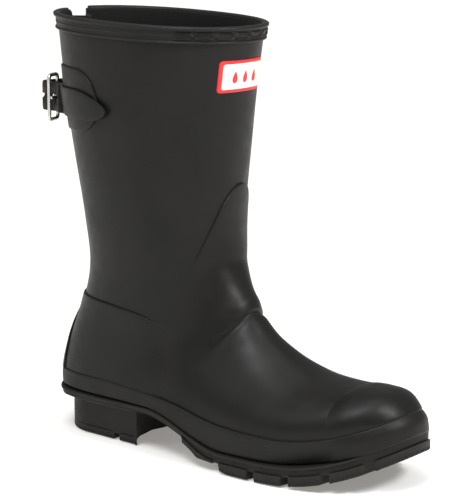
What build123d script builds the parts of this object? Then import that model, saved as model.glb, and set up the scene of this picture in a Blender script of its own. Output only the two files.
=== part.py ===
"""Short rubber rain boot, right foot: every separate piece as its own STEP file.

Millimetres. +X points to the toe, +Y to the inner (medial) side, +Z up.
The origin is on the ground under the middle of the heel.
"""

import os
from math import cos, exp, hypot, pi, radians, sin
from typing import NamedTuple

from build123d import *

# ---- driving sizes ---------------------------------------------------------------

RIM_BACK = (-45.0, 290.5)      # top of the leg opening, seen from the side: x, z
RIM_FRONT = (108.0, 285.5)
RIM_BAND_HEIGHT = 11.5
RIM_BAND_PROUD = 2.6

SHELL = 2.0                    # rubber shell, outer face at offset 0
LINING = 1.0
PANEL = 1.3                    # a rubber panel laid over the shell
GAP = 0.05                     # glue line between neighbouring layers
FOXING = 2.4                   # strip that wraps the join of upper and sole
BUMPER = 1.2

HEEL_SEAT = 30.0               # height of the sole's upper face at the heel
FOREFOOT_SEAT = 12.5           # and at the ball of the foot
SEAT_DROP_START = 50.0         # the arch drops steeply from here to the ball
SEAT_DROP_LENGTH = 70.0
FOXING_HEIGHT = 13.0           # foxing strip above the seat at the heel
FOXING_DROP_START = 10.0       # its upper edge drops earlier and more gently than the seat
FOXING_DROP_LENGTH = 105.0
SPRING_START = 155.0           # the toe rises from here on
SPRING_RADIUS = 150.0

GUSSET_TOP_HALF = 8.5          # half width of the V opening at the rim
GUSSET_BOTTOM = 160.0
GUSSET_FOLD = 11.0             # how deep the pleat folds into the leg
GUSSET_THICK = 1.0
BINDING_WIDTH = 5.0            # strip along each edge of the V

STRAP_Z = 231.0                # height of the strap's centreline
STRAP_WIDTH = 20.0
STRAP_THICK = 2.0
STRAP_CLEAR = 1.6              # offset of the strap's inner face where it lies on the leg
SPLIT_ANGLE = 218.0            # the free end of the strap starts here, degrees round the leg
LOOP_CENTRE = (-47.5, -20.3)   # the loop the strap makes behind the buckle
LOOP_RADIUS = 6.3
STRAP_HOLES = (15.0, 29.0, 43.0, 57.0)    # along the strap; the prong is in the first
HOLE_LENGTH = 8.4
HOLE_WIDTH = 3.4
PATCH_REAR = 21.0              # the patches stop this far from the centreline at the back
PIVOT = (-41.0, -22.6)         # axis of the buckle's pivot bar in plan
BUCKLE_HEIGHT = 33.0
BUCKLE_REACH = 12.0            # pivot axis to the axis of the outer bar
BUCKLE_WIRE = 2.6
BUCKLE_LEAN = 15.0             # degrees forward of square to the strap
CHAPE_WIDTH = 18.0

FIRST_LININGS = SHELL + LINING + GAP
FOOT_LINING = 1.05             # the foot's lining is a little thicker than the leg's
LINING_JOIN = [(-80, 112), (-20, 112), (40, 128), (100, 142), (200, 150)]
BOARD = 2.4                    # insole board
SHANK = 1.2                    # steel spring in a groove under the board
SHANK_LENGTH = 96.0
SHANK_WIDTH = 14.0
FOOTBED = 4.5
HEEL_FRONT = 38.5
HEEL_HOLLOW = 15.0             # how far the heel's front face is scooped out
HEEL_BACK = -38.5
HEEL_GROOVE = 19.0
HEEL_GROOVE_WIDTH = 4.5
TREAD_START = 85.0             # where the forefoot tread begins behind the ball
FIRST_LUG = [(85, 18), (87, 13.5), (94, 10), (100, 6), (116, 5), (121, 1), (126, 0)]
GROOVES = (119, 148, 173, 198, 218)
GROOVE_OUT = 37.0              # those positions are measured this far from the centreline
GROOVE_WIDTH = 5.0
GROOVE_SLANT = 14.0            # degrees
CHANNEL_WIDTH = 4.5            # groove along the middle of the tread
CHANNEL_Y = 4.0
CHANNEL_END = 226.0            # it stops short of the toe

BIG = 400.0                    # longer than the boot


# ---- the shape of the foot and leg -----------------------------------------------

class Rib(NamedTuple):
    """One closed cross-section: it lies between a back point and a front point."""
    back_x: float
    back_z: float
    front_x: float
    front_z: float
    half_lateral: float
    half_medial: float
    widest: float              # where the rib is widest, 0 at the back, 1 at the front
    square_back: float         # 2 is elliptical, 4 is nearly square
    square_front: float
    shift_y: float


RIBS = [
    Rib(-45.5, 300, 109, 295, 55, 55, .50, 2.2, 2.2, 0),      # above the rim, cut off later
    Rib(-43.5, 288, 107, 283, 54, 54, .50, 2.2, 2.2, 0),
    Rib(-38, 243, 101, 240, 52, 52, .50, 2.2, 2.2, 0),
    Rib(-30, 194, 96.5, 194, 48, 48, .50, 2.2, 2.2, 0),
    Rib(-23, 152, 94, 157, 44, 44, .50, 2.2, 2.2, 0),
    Rib(-20, 118, 95, 135, 41, 41, .49, 2.2, 2.2, 0),         # ankle
    Rib(-28.5, 87, 99, 120, 38.5, 38.5, .46, 2.25, 2.2, 0),
    Rib(-38.5, 60, 106, 108, 37, 36.5, .42, 2.5, 2.2, 0),
    Rib(-41, 34, 115, 96, 36.5, 35.5, .36, 3.0, 2.2, 0),      # heel to instep
    Rib(-29, 15, 125, 86, 37.5, 35, .33, 3.6, 2.2, 0),
    Rib(13, 13, 136, 78, 39, 35, .31, 4.0, 2.2, 1),
    Rib(58, 9, 150, 70, 42, 38, .30, 4.2, 2.2, 2),
    Rib(103, 2, 167, 63.5, 45, 43, .29, 4.2, 2.25, 3),        # ball of the foot
    Rib(135, 0, 185, 61, 45.5, 44, .28, 4.2, 2.35, 4),
    Rib(152, 0, 204, 60.5, 43.5, 42, .26, 4.2, 2.45, 5),
    Rib(164, 2, 221, 58, 40.5, 39.5, .22, 4.0, 2.5, 6),
    Rib(165.5, 1, 232.5, 46, 38.5, 38, .16, 4.0, 2.4, 7),
    Rib(166.5, -.5, 236.5, 29, 37.5, 37, .12, 4.0, 2.3, 7),
    Rib(167, -3, 237, 8, 37.5, 37, .10, 4.0, 2.3, 7),         # toe, below the sole's face
]
RIB_POINTS = 32


def smooth(t):
    """0 below 0, 1 above 1, an even S between."""
    t = min(max(t, 0.0), 1.0)
    return t * t * (3 - 2 * t)


def power(value, exponent):
    """Signed power, for superellipses."""
    return abs(value) ** exponent * (1 if value >= 0 else -1)


def rib_point(rib, angle, offset):
    """Point of a rib; angle 0 is the front, pi the back, pi/2 the medial side."""
    length = hypot(rib.front_x - rib.back_x, rib.front_z - rib.back_z)
    ex = (rib.front_x - rib.back_x) / length
    ez = (rib.front_z - rib.back_z) / length
    squareness = rib.square_front
    squareness += (rib.square_back - rib.square_front) * smooth((1 - cos(angle)) / 2)
    to_front = length * (1 - rib.widest) + offset
    to_back = length * rib.widest + offset
    along = (to_front if cos(angle) > 0 else to_back) * power(cos(angle), 2 / squareness)
    half = (rib.half_medial if sin(angle) > 0 else rib.half_lateral) + offset
    across = half * power(sin(angle), 2 / squareness)
    centre = length * rib.widest + along
    return Vector(rib.back_x + ex * centre, rib.shift_y + across, rib.back_z + ez * centre)


def rib_points(rib, offset):
    """Points round a rib, the first one at the front."""
    return [rib_point(rib, 2 * pi * i / RIB_POINTS, offset) for i in range(RIB_POINTS)]


def shared_parameters():
    """Spline parameters for all ribs: the mean of the distances run along each of them."""
    total = [0.0] * (RIB_POINTS + 1)
    for rib in RIBS:
        points = rib_points(rib, 0)
        run = [0.0]
        for start, end in zip(points, [*points[1:], points[0]]):
            run.append(run[-1] + (end - start).length)
        total = [t + r / run[-1] / len(RIBS) for t, r in zip(total, run)]
    return total


def foot_body(offset):
    """Solid bounded by the boot's outer face moved outward by offset."""
    parameters = shared_parameters()
    sections = []
    for rib in RIBS:
        points = rib_points(rib, offset)
        sections.append(Wire([Edge.make_spline(points, periodic=True, parameters=parameters)]))
    return Solid.make_loft(sections)


def layer(inner, outer):
    """Skin between two offsets of the boot's face, open at both ends."""
    walls = []
    rims = []
    for offset in (outer, inner):
        faces = foot_body(offset).faces()
        walls += faces.filter_by(GeomType.PLANE, reverse=True)
        rims.append([face.outer_wire() for face in faces.filter_by(GeomType.PLANE).sort_by(Axis.Z)])
    ends = [Face(outside, [inside]) for outside, inside in zip(*rims)]
    return Solid(Shell([*walls, *ends]))


# ---- heights along the sole --------------------------------------------------------

def toe_spring(x):
    """Lift of the sole over the toe."""
    return max(x - SPRING_START, 0.0) ** 2 / (2 * SPRING_RADIUS)


def seat(x):
    """Height of the face the upper stands on."""
    drop = (HEEL_SEAT - FOREFOOT_SEAT) * smooth((x - SEAT_DROP_START) / SEAT_DROP_LENGTH)
    return HEEL_SEAT - drop + toe_spring(x)


def foxing_top(x):
    """Upper edge of the foxing strip: it drops to the ball with a swell along the arch."""
    drop = (HEEL_SEAT - FOREFOOT_SEAT) * smooth((x - FOXING_DROP_START) / FOXING_DROP_LENGTH)
    swell = 3.0 * smooth((x - 20) / 60) + 3.0 * exp(-((x - 85) / 35) ** 2)
    return HEEL_SEAT + FOXING_HEIGHT - drop + swell + toe_spring(x)


def foxing_bottom(x):
    """Lower edge of the foxing strip; a groove is left under it round the heel."""
    return seat(x) + 0.3 + 3.2 * (1 - smooth((x - 10) / 60))


# ---- cutting shapes --------------------------------------------------------------

def side_prism(outline):
    """Outline of (x, z) points, joined straight, run right across the boot."""
    face = Plane.XZ * make_face(Polyline(*outline, close=True))
    return extrude(face, amount=BIG / 2, both=True)


def side_curve_prism(curve, closing):
    """Smooth curve of (x, z) points closed by straight lines, run across the boot."""
    top = Spline(*curve)
    rest = Polyline(curve[-1], *closing, curve[0])
    face = Plane.XZ * make_face([top, rest])
    return extrude(face, amount=BIG / 2, both=True)


def below(height, step=12.0, start=-70.0, end=266.0):
    """Everything under a height that varies along the boot."""
    count = round((end - start) / step)
    curve = [(start + step * i, height(start + step * i)) for i in range(count + 1)]
    return side_curve_prism(curve, [(curve[-1][0], -60.0), (start, -60.0)])


def half_space(side):
    """Box over one side of the boot: +1 the medial half, -1 the lateral half."""
    return Pos(70, side * BIG / 4, 100) * Box(BIG, BIG / 2, 500)


def rim_height(x, down=0.0):
    """Height of the tilted rim plane."""
    slope = (RIM_FRONT[1] - RIM_BACK[1]) / (RIM_FRONT[0] - RIM_BACK[0])
    return RIM_BACK[1] + slope * (x - RIM_BACK[0]) - down


def under_rim(down):
    """Everything below a plane the given distance under the rim."""
    low = -60.0
    start, end = -90, 280
    corners = [(start, low), (end, low), (end, rim_height(end, down)), (start, rim_height(start, down))]
    return side_prism(corners)


def gusset_half_width(z, extra=0.0):
    """Half width of the V opening at a height."""
    return GUSSET_TOP_HALF * (z - GUSSET_BOTTOM) / (RIM_BACK[1] - GUSSET_BOTTOM) + extra


def rear_vee(extra, top=310.0, bottom=GUSSET_BOTTOM):
    """The V opening, seen from behind, run through the back of the leg."""
    outline = [
        (-gusset_half_width(top, extra), top),
        (-gusset_half_width(bottom, extra), bottom),
        (gusset_half_width(bottom, extra), bottom),
        (gusset_half_width(top, extra), top),
    ]
    face = Plane.YZ * make_face(Polyline(*outline, close=True))
    return Pos(-70, 0, 0) * extrude(face, amount=60)


# ---- upper: shell, panels, trims ---------------------------------------------------

def leg_and_vamp_border():
    """Side-view area of the vamp; the rest of the shell belongs to the leg."""
    curve = [(135, 120), (113, 95), (96, 74), (82, 52), (72, 30), (66, -20)]
    return side_curve_prism(curve, [(300, -20), (300, 120)])


def shells(skin, trimmed):
    """Leg with its V opening, and vamp."""
    vamp_area = leg_and_vamp_border()
    shell = skin & trimmed
    leg = (shell - vamp_area) - rear_vee(0.3)
    return leg, shell & (Pos(0.1, 0, 0) * vamp_area)


def instep_panel(skin):
    """Tongue-shaped panel over the front of the ankle, its tip a little to the medial side."""
    lateral = [(-40, 70), (-37, 96), (-31, 118), (-24, 140), (-17, 156), (-10, 168.5), (-1, 177.5)]
    medial = [(8, 181), (17, 177.5), (24, 168.5), (29, 156), (33, 140), (37, 118), (39, 96), (41, 70)]
    outline = [*lateral, *medial]
    face = Plane.YZ * make_face([Spline(*outline), Line(outline[-1], outline[0])])
    tongue = Pos(40, 0, 0) * extrude(face, amount=150)
    lower_edge = [(160, 112), (118, 95), (106, 83), (94, 82), (82, 94), (60, 120)]
    return skin & tongue & side_curve_prism(lower_edge, [(60, 220), (160, 220)])


def heel_counter(skin):
    """Reinforcing panel round the heel."""
    top = [(-60, 99), (-22, 98), (24, 95.5), (52, 89.5), (68, 80), (76, 62), (80, 20)]
    area = side_curve_prism(top, [(-60, 20)])
    return skin & area - below(lambda x: foxing_top(x) + 0.1)


def heel_tab(skin):
    """Small second panel on the back of the heel, used to kick the boot off."""
    outline = [(-30, 30), (-27, 60), (-17, 83), (0, 89), (17, 83), (27, 60), (30, 30)]
    face = Plane.YZ * make_face([Spline(*outline), Line(outline[-1], outline[0])])
    tab = Pos(-70, 0, 0) * extrude(face, amount=70)
    return skin & tab - below(lambda x: foxing_top(x) + 0.1)


def back_strip(skin):
    """Strip over the back seam, from the V down to the counter."""
    outline = [(-6, 99), (-6, 158), (6, 158), (6, 99)]
    face = Plane.YZ * make_face(Polyline(*outline, close=True))
    return skin & (Pos(-70, 0, 0) * extrude(face, amount=70))


def gusset_binding(skin, side):
    """Strip along one edge of the V opening."""
    band = rear_vee(0.3 + BINDING_WIDTH, bottom=158.5) - rear_vee(0.3, bottom=150)
    return skin & band & half_space(side) & under_rim(RIM_BAND_HEIGHT + 0.1)


def toe_cap(skin):
    """Panel over the toes."""
    edge = [(198, 90), (194, 60), (192, 40), (190, 10)]
    area = side_curve_prism(edge, [(270, 10), (270, 90)])
    return skin & area - below(lambda x: foxing_top(x) + 0.1)


def foxing(skin):
    """Strip round the whole boot over the join with the sole."""
    return skin & below(foxing_top) - below(foxing_bottom)


def toe_bumper(skin):
    """Extra strip round the toe, over the foxing."""
    ends = side_prism([(196, -20), (206, 80), (270, 80), (270, -20)])
    return skin & ends & below(lambda x: seat(x) + 15.5) - below(lambda x: seat(x) + 0.3)


def rim_band(skin):
    """Raised band round the top of the leg, open at the V."""
    band = skin & under_rim(0) - under_rim(RIM_BAND_HEIGHT)
    return band - rear_vee(0.3)


# ---- V gusset ------------------------------------------------------------------------

def back_x(z):
    """How far back the leg's outer face is at a height, between the upper ribs."""
    ribs = sorted(RIBS[:6], key=lambda rib: rib.back_z)
    for low, high in zip(ribs, ribs[1:]):
        if z <= high.back_z:
            part = (z - low.back_z) / (high.back_z - low.back_z)
            return low.back_x + part * (high.back_x - low.back_x)
    return ribs[-1].back_x


def gusset():
    """Pleat of coated fabric that closes the V and lets the leg open wider."""
    sections = []
    for z in (GUSSET_BOTTOM + 6, 190, 225, 258, 286.5):
        half = gusset_half_width(z) + 0.1
        fold = GUSSET_FOLD * smooth((z - GUSSET_BOTTOM) / 70) + 0.5
        edge = back_x(z) + 0.6
        outline = [
            (edge, -half), (edge + fold, 0), (edge, half), (edge + 2 * GUSSET_THICK, half),
            (edge + fold + 2 * GUSSET_THICK, 0), (edge + 2 * GUSSET_THICK, -half),
        ]
        sections.append(Wire(Polyline(*[Vector(x, y, z) for x, y in outline], close=True).edges()))
    return Solid.make_loft(sections, ruled=True)


# ---- strap, buckle and patches ---------------------------------------------------------

def patch(skin, side):
    """D-shaped patch the strap or the buckle's loop is fixed to."""
    round_front = [(-9, 255), (5, 254), (16, 246.5), (21.5, 233), (17, 220), (6, 213), (-9, 212)]
    area = side_curve_prism(round_front, [(-60, 212), (-60, 255)])
    behind = Pos(-60, 0, STRAP_Z) * Box(100, 2 * PATCH_REAR, 60)
    return skin & area & half_space(side) - behind


def leg_surface(z, angle, offset):
    """Point of the leg's face at a height, between the two nearest ribs."""
    for upper, lower in zip(RIBS[:6], RIBS[1:7]):
        high = rib_point(upper, angle, offset)
        low = rib_point(lower, angle, offset)
        if low.Z <= z <= high.Z:
            part = (z - low.Z) / (high.Z - low.Z)
            return low + (high - low) * part
    raise ValueError("height is outside the leg")


def strap_path(z):
    """Centreline of the strap from the free end's hinge to the medial patch."""
    centre = STRAP_CLEAR + STRAP_THICK / 2
    start = leg_surface(z, radians(SPLIT_ANGLE), centre)
    points = [(start.X, start.Y)]
    points.append((PIVOT[0] + 9, PIVOT[1] - 8.4))
    points.append((PIVOT[0] + 2, PIVOT[1] - 4.3))
    points.append((LOOP_CENTRE[0], LOOP_CENTRE[1] - LOOP_RADIUS))
    for turn in (40, 80, 120):
        x = LOOP_CENTRE[0] - LOOP_RADIUS * sin(radians(turn))
        y = LOOP_CENTRE[1] - LOOP_RADIUS * cos(radians(turn))
        points.append((x, y))
    for angle, extra in ((156, 0.6), (148, 0.2), (138, 0), (128, 0), (118, 0)):
        wrapped = leg_surface(z, radians(angle), centre + extra)
        points.append((wrapped.X, wrapped.Y))
    return points


def ribbon(path_at, thick, low, high):
    """Upright strip of even thickness that follows a path given at two heights."""
    sections = []
    for z in (low, high):
        centreline = Spline(*[Vector(x, y, 0) for x, y in path_at(z)])
        sides = []
        for side in (-thick / 2, thick / 2):
            points = []
            for i in range(41):
                at = centreline.position_at(i / 40)
                along = centreline.tangent_at(i / 40)
                points.append(Vector(at.X - along.Y * side, at.Y + along.X * side, z))
            sides.append(points)
        inner = Edge.make_spline(sides[0])
        outer = Edge.make_spline(sides[1])
        ends = [Edge.make_line(sides[0][0], sides[1][0]), Edge.make_line(sides[0][-1], sides[1][-1])]
        sections.append(Wire([inner, ends[1], outer, ends[0]]))
    return Solid.make_loft(sections, ruled=True)


def strap():
    """Strap from the free end's hinge through the buckle and round to the medial patch."""
    low = STRAP_Z - STRAP_WIDTH / 2
    band = ribbon(strap_path, STRAP_THICK, low, low + STRAP_WIDTH)
    centreline = Spline(*[Vector(x, y, STRAP_Z) for x, y in strap_path(STRAP_Z)])
    for distance in STRAP_HOLES:
        part = distance / centreline.length
        spot = centreline.position_at(part)
        along = centreline.tangent_at(part)
        across = Vector(along.Y, -along.X, 0)
        plane = Plane(origin=spot, x_dir=along, z_dir=across)
        band -= extrude(plane * SlotOverall(HOLE_LENGTH, HOLE_WIDTH), amount=2, both=True)
    return band


def strap_tip(skin):
    """Pointed free end of the strap, lying on the lateral patch."""
    low = STRAP_Z - STRAP_WIDTH / 2
    high = STRAP_Z + STRAP_WIDTH / 2
    start = leg_surface(STRAP_Z, radians(SPLIT_ANGLE), 0).X + 0.9
    outline = [(start, low), (start, high), (21, high), (30, STRAP_Z), (21, low)]
    return skin & side_prism(outline) & half_space(-1)


def buckle_frame():
    """Rectangular wire frame with round corners; it turns on its rear bar."""
    half = (BUCKLE_HEIGHT - BUCKLE_WIRE) / 2
    path = Plane.XZ * RectangleRounded(BUCKLE_REACH, 2 * half, 2.5)
    wire = path.faces()[0].outer_wire()
    start = wire.position_at(0)
    profile = Plane(origin=start, z_dir=wire.tangent_at(0)) * Circle(BUCKLE_WIRE / 2)
    frame = sweep(profile, path=wire)
    frame = Pos(BUCKLE_REACH / 2, 0, 0) * frame
    return place_on_pivot(frame)


def place_on_pivot(piece):
    """Move a piece drawn with +X pointing from the pivot bar to the outer bar."""
    return Pos(PIVOT[0], PIVOT[1], STRAP_Z) * Rot(0, 0, -90 + BUCKLE_LEAN) * piece


def buckle_prong():
    """Prong with a ring round the pivot bar; its tip rests on the outer bar."""
    ring_inner = BUCKLE_WIRE / 2 + 0.08
    ring = Cylinder(ring_inner + 1.1, 2.6) - Cylinder(ring_inner, 4)
    side = BUCKLE_WIRE / 2 + 1.0
    rod = Pos(0, side, 0) * Rot(0, 90, 0) * Cylinder(0.95, BUCKLE_REACH + 1.6, align=(
        Align.CENTER, Align.CENTER, Align.MIN))
    prong = (ring + rod) - Cylinder(ring_inner, 4)
    return place_on_pivot(prong)


def chape():
    """Rubber loop that holds the buckle; its tail runs in behind the lateral patch."""
    px, py = PIVOT
    hole = BUCKLE_WIRE / 2 + 0.1
    outside = hole + 1.2
    tail = make_face(Polyline(
        (px, py - outside), (px + 4.5, py - 1.6), (px + 6.2, -PATCH_REAR + 0.1),
        (px + 14, -PATCH_REAR + 0.1), (px + 14, -PATCH_REAR + 4), (px, py + outside), close=True))
    plan = tail + Pos(px, py) * Circle(outside) - Pos(px, py) * Circle(hole)
    loop = Pos(0, 0, STRAP_Z - CHAPE_WIDTH / 2) * extrude(plan, amount=CHAPE_WIDTH)
    slot = Pos(px, py, STRAP_Z) * Box(8.5, 12, 3.4)
    return loop - slot - foot_body(GAP)


# ---- label ---------------------------------------------------------------------------

def label_area(half_width, bottom, top, corner):
    """Rounded rectangle on the front of the leg."""
    width = 2 * half_width
    face = Plane.YZ * Pos(0, (bottom + top) / 2) * RectangleRounded(width, top - bottom, corner)
    return Pos(60, 0, 0) * extrude(face, amount=90)


# ---- linings, stiffeners and the parts under the foot ------------------------------------

def leg_lining(skin):
    """Cloth lining of the leg, open at the V."""
    high = side_curve_prism(LINING_JOIN, [(200, 320), (-80, 320)])
    return (skin & high & under_rim(1.0)) - rear_vee(0.3)


def foot_lining(skin):
    """Thicker lining of the foot."""
    low = side_curve_prism(LINING_JOIN, [(300, -20), (-80, -20)])
    return skin & (Pos(0, 0, -0.1) * low) - below(lambda x: seat(x) + BOARD + GAP)


def heel_stiffener(skin):
    """Stiff cup inside the heel, between shell and lining."""
    top = [(-60, 84), (-10, 80), (30, 66), (58, 44), (66, 10)]
    return skin & side_curve_prism(top, [(-60, 10)]) - below(lambda x: seat(x) + BOARD + GAP)


def toe_stiffener(skin):
    """Stiff cap inside the toe, between shell and lining."""
    edge = [(204, 90), (200, 60), (198, 40), (196, 10)]
    area = side_curve_prism(edge, [(270, 10), (270, 90)])
    return skin & area - below(lambda x: seat(x) + BOARD + GAP)


def inside_slab(body, low, high):
    """The part of a body between two heights above the seat."""
    return body & below(lambda x: seat(x) + high) - below(lambda x: seat(x) + low)


def shank_area(extra=0.0):
    """Plan area of the steel shank."""
    return Pos(42, 0, 20) * Box(SHANK_LENGTH + 2 * extra, SHANK_WIDTH + 2 * extra, 80)


def insole_board(inner):
    """Stiff fibre board the upper is built on, grooved underneath for the shank."""
    board = inside_slab(inner, GAP, BOARD)
    groove = below(lambda x: seat(x) + SHANK + 0.1) & shank_area(0.1)
    return board - groove


def shank():
    """Flat steel spring under the arch."""
    strip = below(lambda x: seat(x) + SHANK) - below(lambda x: seat(x) + GAP)
    return strip & shank_area()


# ---- outsole ---------------------------------------------------------------------------

SOLE_OUTLINE = [
    (-46, 0), (-42.5, -18), (-30, -34), (0, -40.8), (40, -42), (80, -44.3), (120, -47.3),
    (155, -47.3), (190, -41.5), (215, -31), (232, -17.5), (241, 5),
    (239, 21), (229, 36), (213, 45.5), (190, 50.7), (155, 52.7), (120, 50.7), (90, 46.5),
    (60, 42.2), (20, 39.2), (-10, 38), (-30, 32.8), (-42.5, 17),
]


def plate_bottom(x):
    """Underside of the outsole between the lugs: thinnest at the arch."""
    return seat(x) - 5.0 + 2.0 * smooth((x - 35) / 15) - 4.0 * smooth((x - 72) / 36)


def outline_block(low, high):
    """The sole's outline as an upright block."""
    edge = Edge.make_spline([Vector(x, y, 0) for x, y in SOLE_OUTLINE], periodic=True)
    return Pos(0, 0, low) * extrude(Face(Wire([edge])), amount=high - low, dir=(0, 0, 1))


def heel_block():
    """Heel, narrower than the flange above it, with a scooped front face."""
    side = 33.5
    back = 31.5
    outline = [
        Line((HEEL_FRONT, -side), (-8, -back)),
        ThreePointArc((-8, -back), (HEEL_BACK, 0), (-8, back)),
        Line((-8, back), (HEEL_FRONT, side)),
        ThreePointArc((HEEL_FRONT, side), (HEEL_FRONT - HEEL_HOLLOW, 0), (HEEL_FRONT, -side)),
    ]
    block = extrude(make_face(outline), amount=26)
    return block - Pos(HEEL_GROOVE, 0, 0) * Box(HEEL_GROOVE_WIDTH, 100, 9)


def tread():
    """Forefoot lugs, cut apart by slanted grooves and one along the middle."""
    ground = [*FIRST_LUG, (SPRING_START, 0)]
    count = 8
    end = 250
    for i in range(1, count + 1):
        x = SPRING_START + (end - SPRING_START) * i / count
        ground.append((x, toe_spring(x)))
    profile = side_prism([*ground, (end, 60), (TREAD_START, 60)])
    lugs = outline_block(0, 60) & profile & below(lambda x: plate_bottom(x) + 1)
    for x in GROOVES:
        for side in (-1, 1):
            place = Pos(x, side * GROOVE_OUT, 0) * Rot(0, 0, side * GROOVE_SLANT)
            inner = CHANNEL_Y - side * GROOVE_OUT
            outer = side * (BIG / 10)
            slot = place * Pos(0, (inner + outer) / 2, 0) * Box(GROOVE_WIDTH, abs(outer - inner), 60)
            lugs -= slot & below(plate_bottom)
    length = CHANNEL_END - TREAD_START
    channel = Pos(TREAD_START + length / 2, CHANNEL_Y, 0) * Box(length, CHANNEL_WIDTH, 60)
    return lugs - (channel & below(plate_bottom))


def heel_pocket(gap):
    """Hollow in the heel that the filler block drops into."""
    return Pos(-5, 0, 9 + gap) * Box(
        42 - 2 * gap, 40 - 2 * gap, 60, align=(Align.CENTER, Align.CENTER, Align.MIN))


def outsole():
    """Outsole and heel, moulded in one piece."""
    plate = outline_block(0, 60) & below(seat) - below(plate_bottom)
    return plate + heel_block() + tread() - heel_pocket(0)


def heel_filler():
    """Foam rubber block in the heel's hollow."""
    return heel_pocket(GAP) & below(seat)


# ---- everything --------------------------------------------------------------------------

def pieces():
    """Every piece of the boot by name."""
    part = {}
    shell = layer(-SHELL, 0)
    first = layer(GAP, GAP + PANEL)
    second = layer(PANEL + 2 * GAP, 2 * PANEL + GAP)
    trimmed = under_rim(0) - below(seat)
    part["leg_shell"], part["vamp"] = shells(shell, trimmed)
    part["instep_panel"] = instep_panel(first)
    part["heel_counter"] = heel_counter(first)
    part["heel_tab"] = heel_tab(second)
    part["back_strip"] = back_strip(first)
    part["gusset_binding_lateral"] = gusset_binding(first, -1)
    part["gusset_binding_medial"] = gusset_binding(first, 1)
    part["toe_cap"] = toe_cap(first)
    part["foxing_strip"] = foxing(layer(GAP, FOXING))
    part["toe_bumper"] = toe_bumper(layer(FOXING + GAP, FOXING + BUMPER))
    part["rim_band"] = rim_band(layer(GAP, RIM_BAND_PROUD))
    part["gusset"] = gusset()
    part["strap_patch_lateral"] = patch(first, -1)
    part["strap_patch_medial"] = patch(first, 1)
    part["strap"] = strap()
    part["strap_tip"] = strap_tip(layer(STRAP_CLEAR, STRAP_CLEAR + STRAP_THICK))
    part["buckle_chape"] = chape()
    part["buckle_frame"] = buckle_frame()
    part["buckle_prong"] = buckle_prong()
    label = layer(GAP, 1.0)
    part["label_base"] = label & label_area(21, 242.5, 263.5, 2)
    part["label_face"] = layer(1.0 + GAP, 1.5) & label_area(18.8, 244.7, 261.3, 1)
    inner = layer(-SHELL - LINING, -SHELL - GAP)
    part["leg_lining"] = leg_lining(inner)
    part["foot_lining"] = foot_lining(layer(-FIRST_LININGS - FOOT_LINING, -FIRST_LININGS))
    part["heel_stiffener"] = heel_stiffener(inner)
    part["toe_stiffener"] = toe_stiffener(inner)
    part["insole_board"] = insole_board(foot_body(-SHELL - GAP))
    part["shank"] = shank()
    inside = foot_body(-FIRST_LININGS - FOOT_LINING - 0.1)
    part["footbed"] = inside_slab(inside, BOARD + GAP, BOARD + FOOTBED)
    part["outsole"] = outsole()
    part["heel_filler"] = heel_filler()
    return part


if __name__ == "__main__":
    os.makedirs("parts", exist_ok=True)
    for name, shape in pieces().items():
        export_step(shape, f"parts/{name}.step")
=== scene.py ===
"""Looks for the short rubber rain boot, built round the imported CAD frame.

Sizes in the code are millimetres; every mesh is turned into metres when it is made.
"""

import math
from math import radians

import bmesh
import bpy
import numpy as np
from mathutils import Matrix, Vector
from mathutils.bvhtree import BVHTree


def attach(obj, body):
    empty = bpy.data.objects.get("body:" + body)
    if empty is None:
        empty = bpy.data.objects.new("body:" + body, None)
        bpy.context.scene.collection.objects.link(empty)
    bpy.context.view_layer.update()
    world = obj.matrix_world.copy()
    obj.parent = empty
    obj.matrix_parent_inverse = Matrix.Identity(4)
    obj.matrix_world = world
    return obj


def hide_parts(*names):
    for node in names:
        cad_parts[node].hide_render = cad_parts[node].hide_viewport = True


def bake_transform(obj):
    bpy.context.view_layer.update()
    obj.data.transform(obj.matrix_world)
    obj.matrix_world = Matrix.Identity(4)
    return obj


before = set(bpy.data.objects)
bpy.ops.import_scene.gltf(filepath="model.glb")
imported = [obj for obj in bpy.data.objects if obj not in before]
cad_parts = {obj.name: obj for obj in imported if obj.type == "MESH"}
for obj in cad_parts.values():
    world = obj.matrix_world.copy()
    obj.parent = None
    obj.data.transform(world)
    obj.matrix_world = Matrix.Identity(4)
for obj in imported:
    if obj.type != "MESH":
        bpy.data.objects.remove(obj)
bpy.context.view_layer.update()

MM = 0.001
TAU = 2 * np.pi

# ---- sizes, the same as in the CAD model -----------------------------------------

RIM_BACK = (-45.0, 290.5)
RIM_FRONT = (108.0, 285.5)
RIM_BAND_HEIGHT = 11.5
SHELL = 2.0
LINING = 1.0
GAP = 0.05
PANEL = 1.3
FOXING = 2.4
BUMPER = 1.2
HEEL_SEAT = 30.0
FOREFOOT_SEAT = 12.5
SEAT_DROP_START = 50.0
SEAT_DROP_LENGTH = 70.0
FOXING_HEIGHT = 13.0
FOXING_DROP_START = 10.0
FOXING_DROP_LENGTH = 105.0
SPRING_START = 155.0
SPRING_RADIUS = 150.0
GUSSET_TOP_HALF = 8.5
GUSSET_BOTTOM = 160.0
GUSSET_FOLD = 11.0
STRAP_Z = 231.0
STRAP_WIDTH = 20.0
STRAP_THICK = 2.0
STRAP_CLEAR = 1.6
SPLIT_ANGLE = 218.0
LOOP_CENTRE = (-47.5, -20.3)
LOOP_RADIUS = 6.3
STRAP_HOLES = (15.0, 29.0, 43.0, 57.0)
PATCH_REAR = 21.0
PIVOT = (-41.0, -22.6)
BUCKLE_HEIGHT = 33.0
BUCKLE_REACH = 12.0
BUCKLE_WIRE = 2.6
BUCKLE_LEAN = 15.0
CHAPE_WIDTH = 18.0
LINING_JOIN = [(-80, 112), (-20, 112), (40, 128), (100, 142), (200, 150)]
HEEL_FRONT = 38.5
HEEL_BACK = -38.5
HEEL_HOLLOW = 15.0
HEEL_GROOVE = 19.0
HEEL_GROOVE_WIDTH = 4.5
TREAD_START = 85.0
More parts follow.
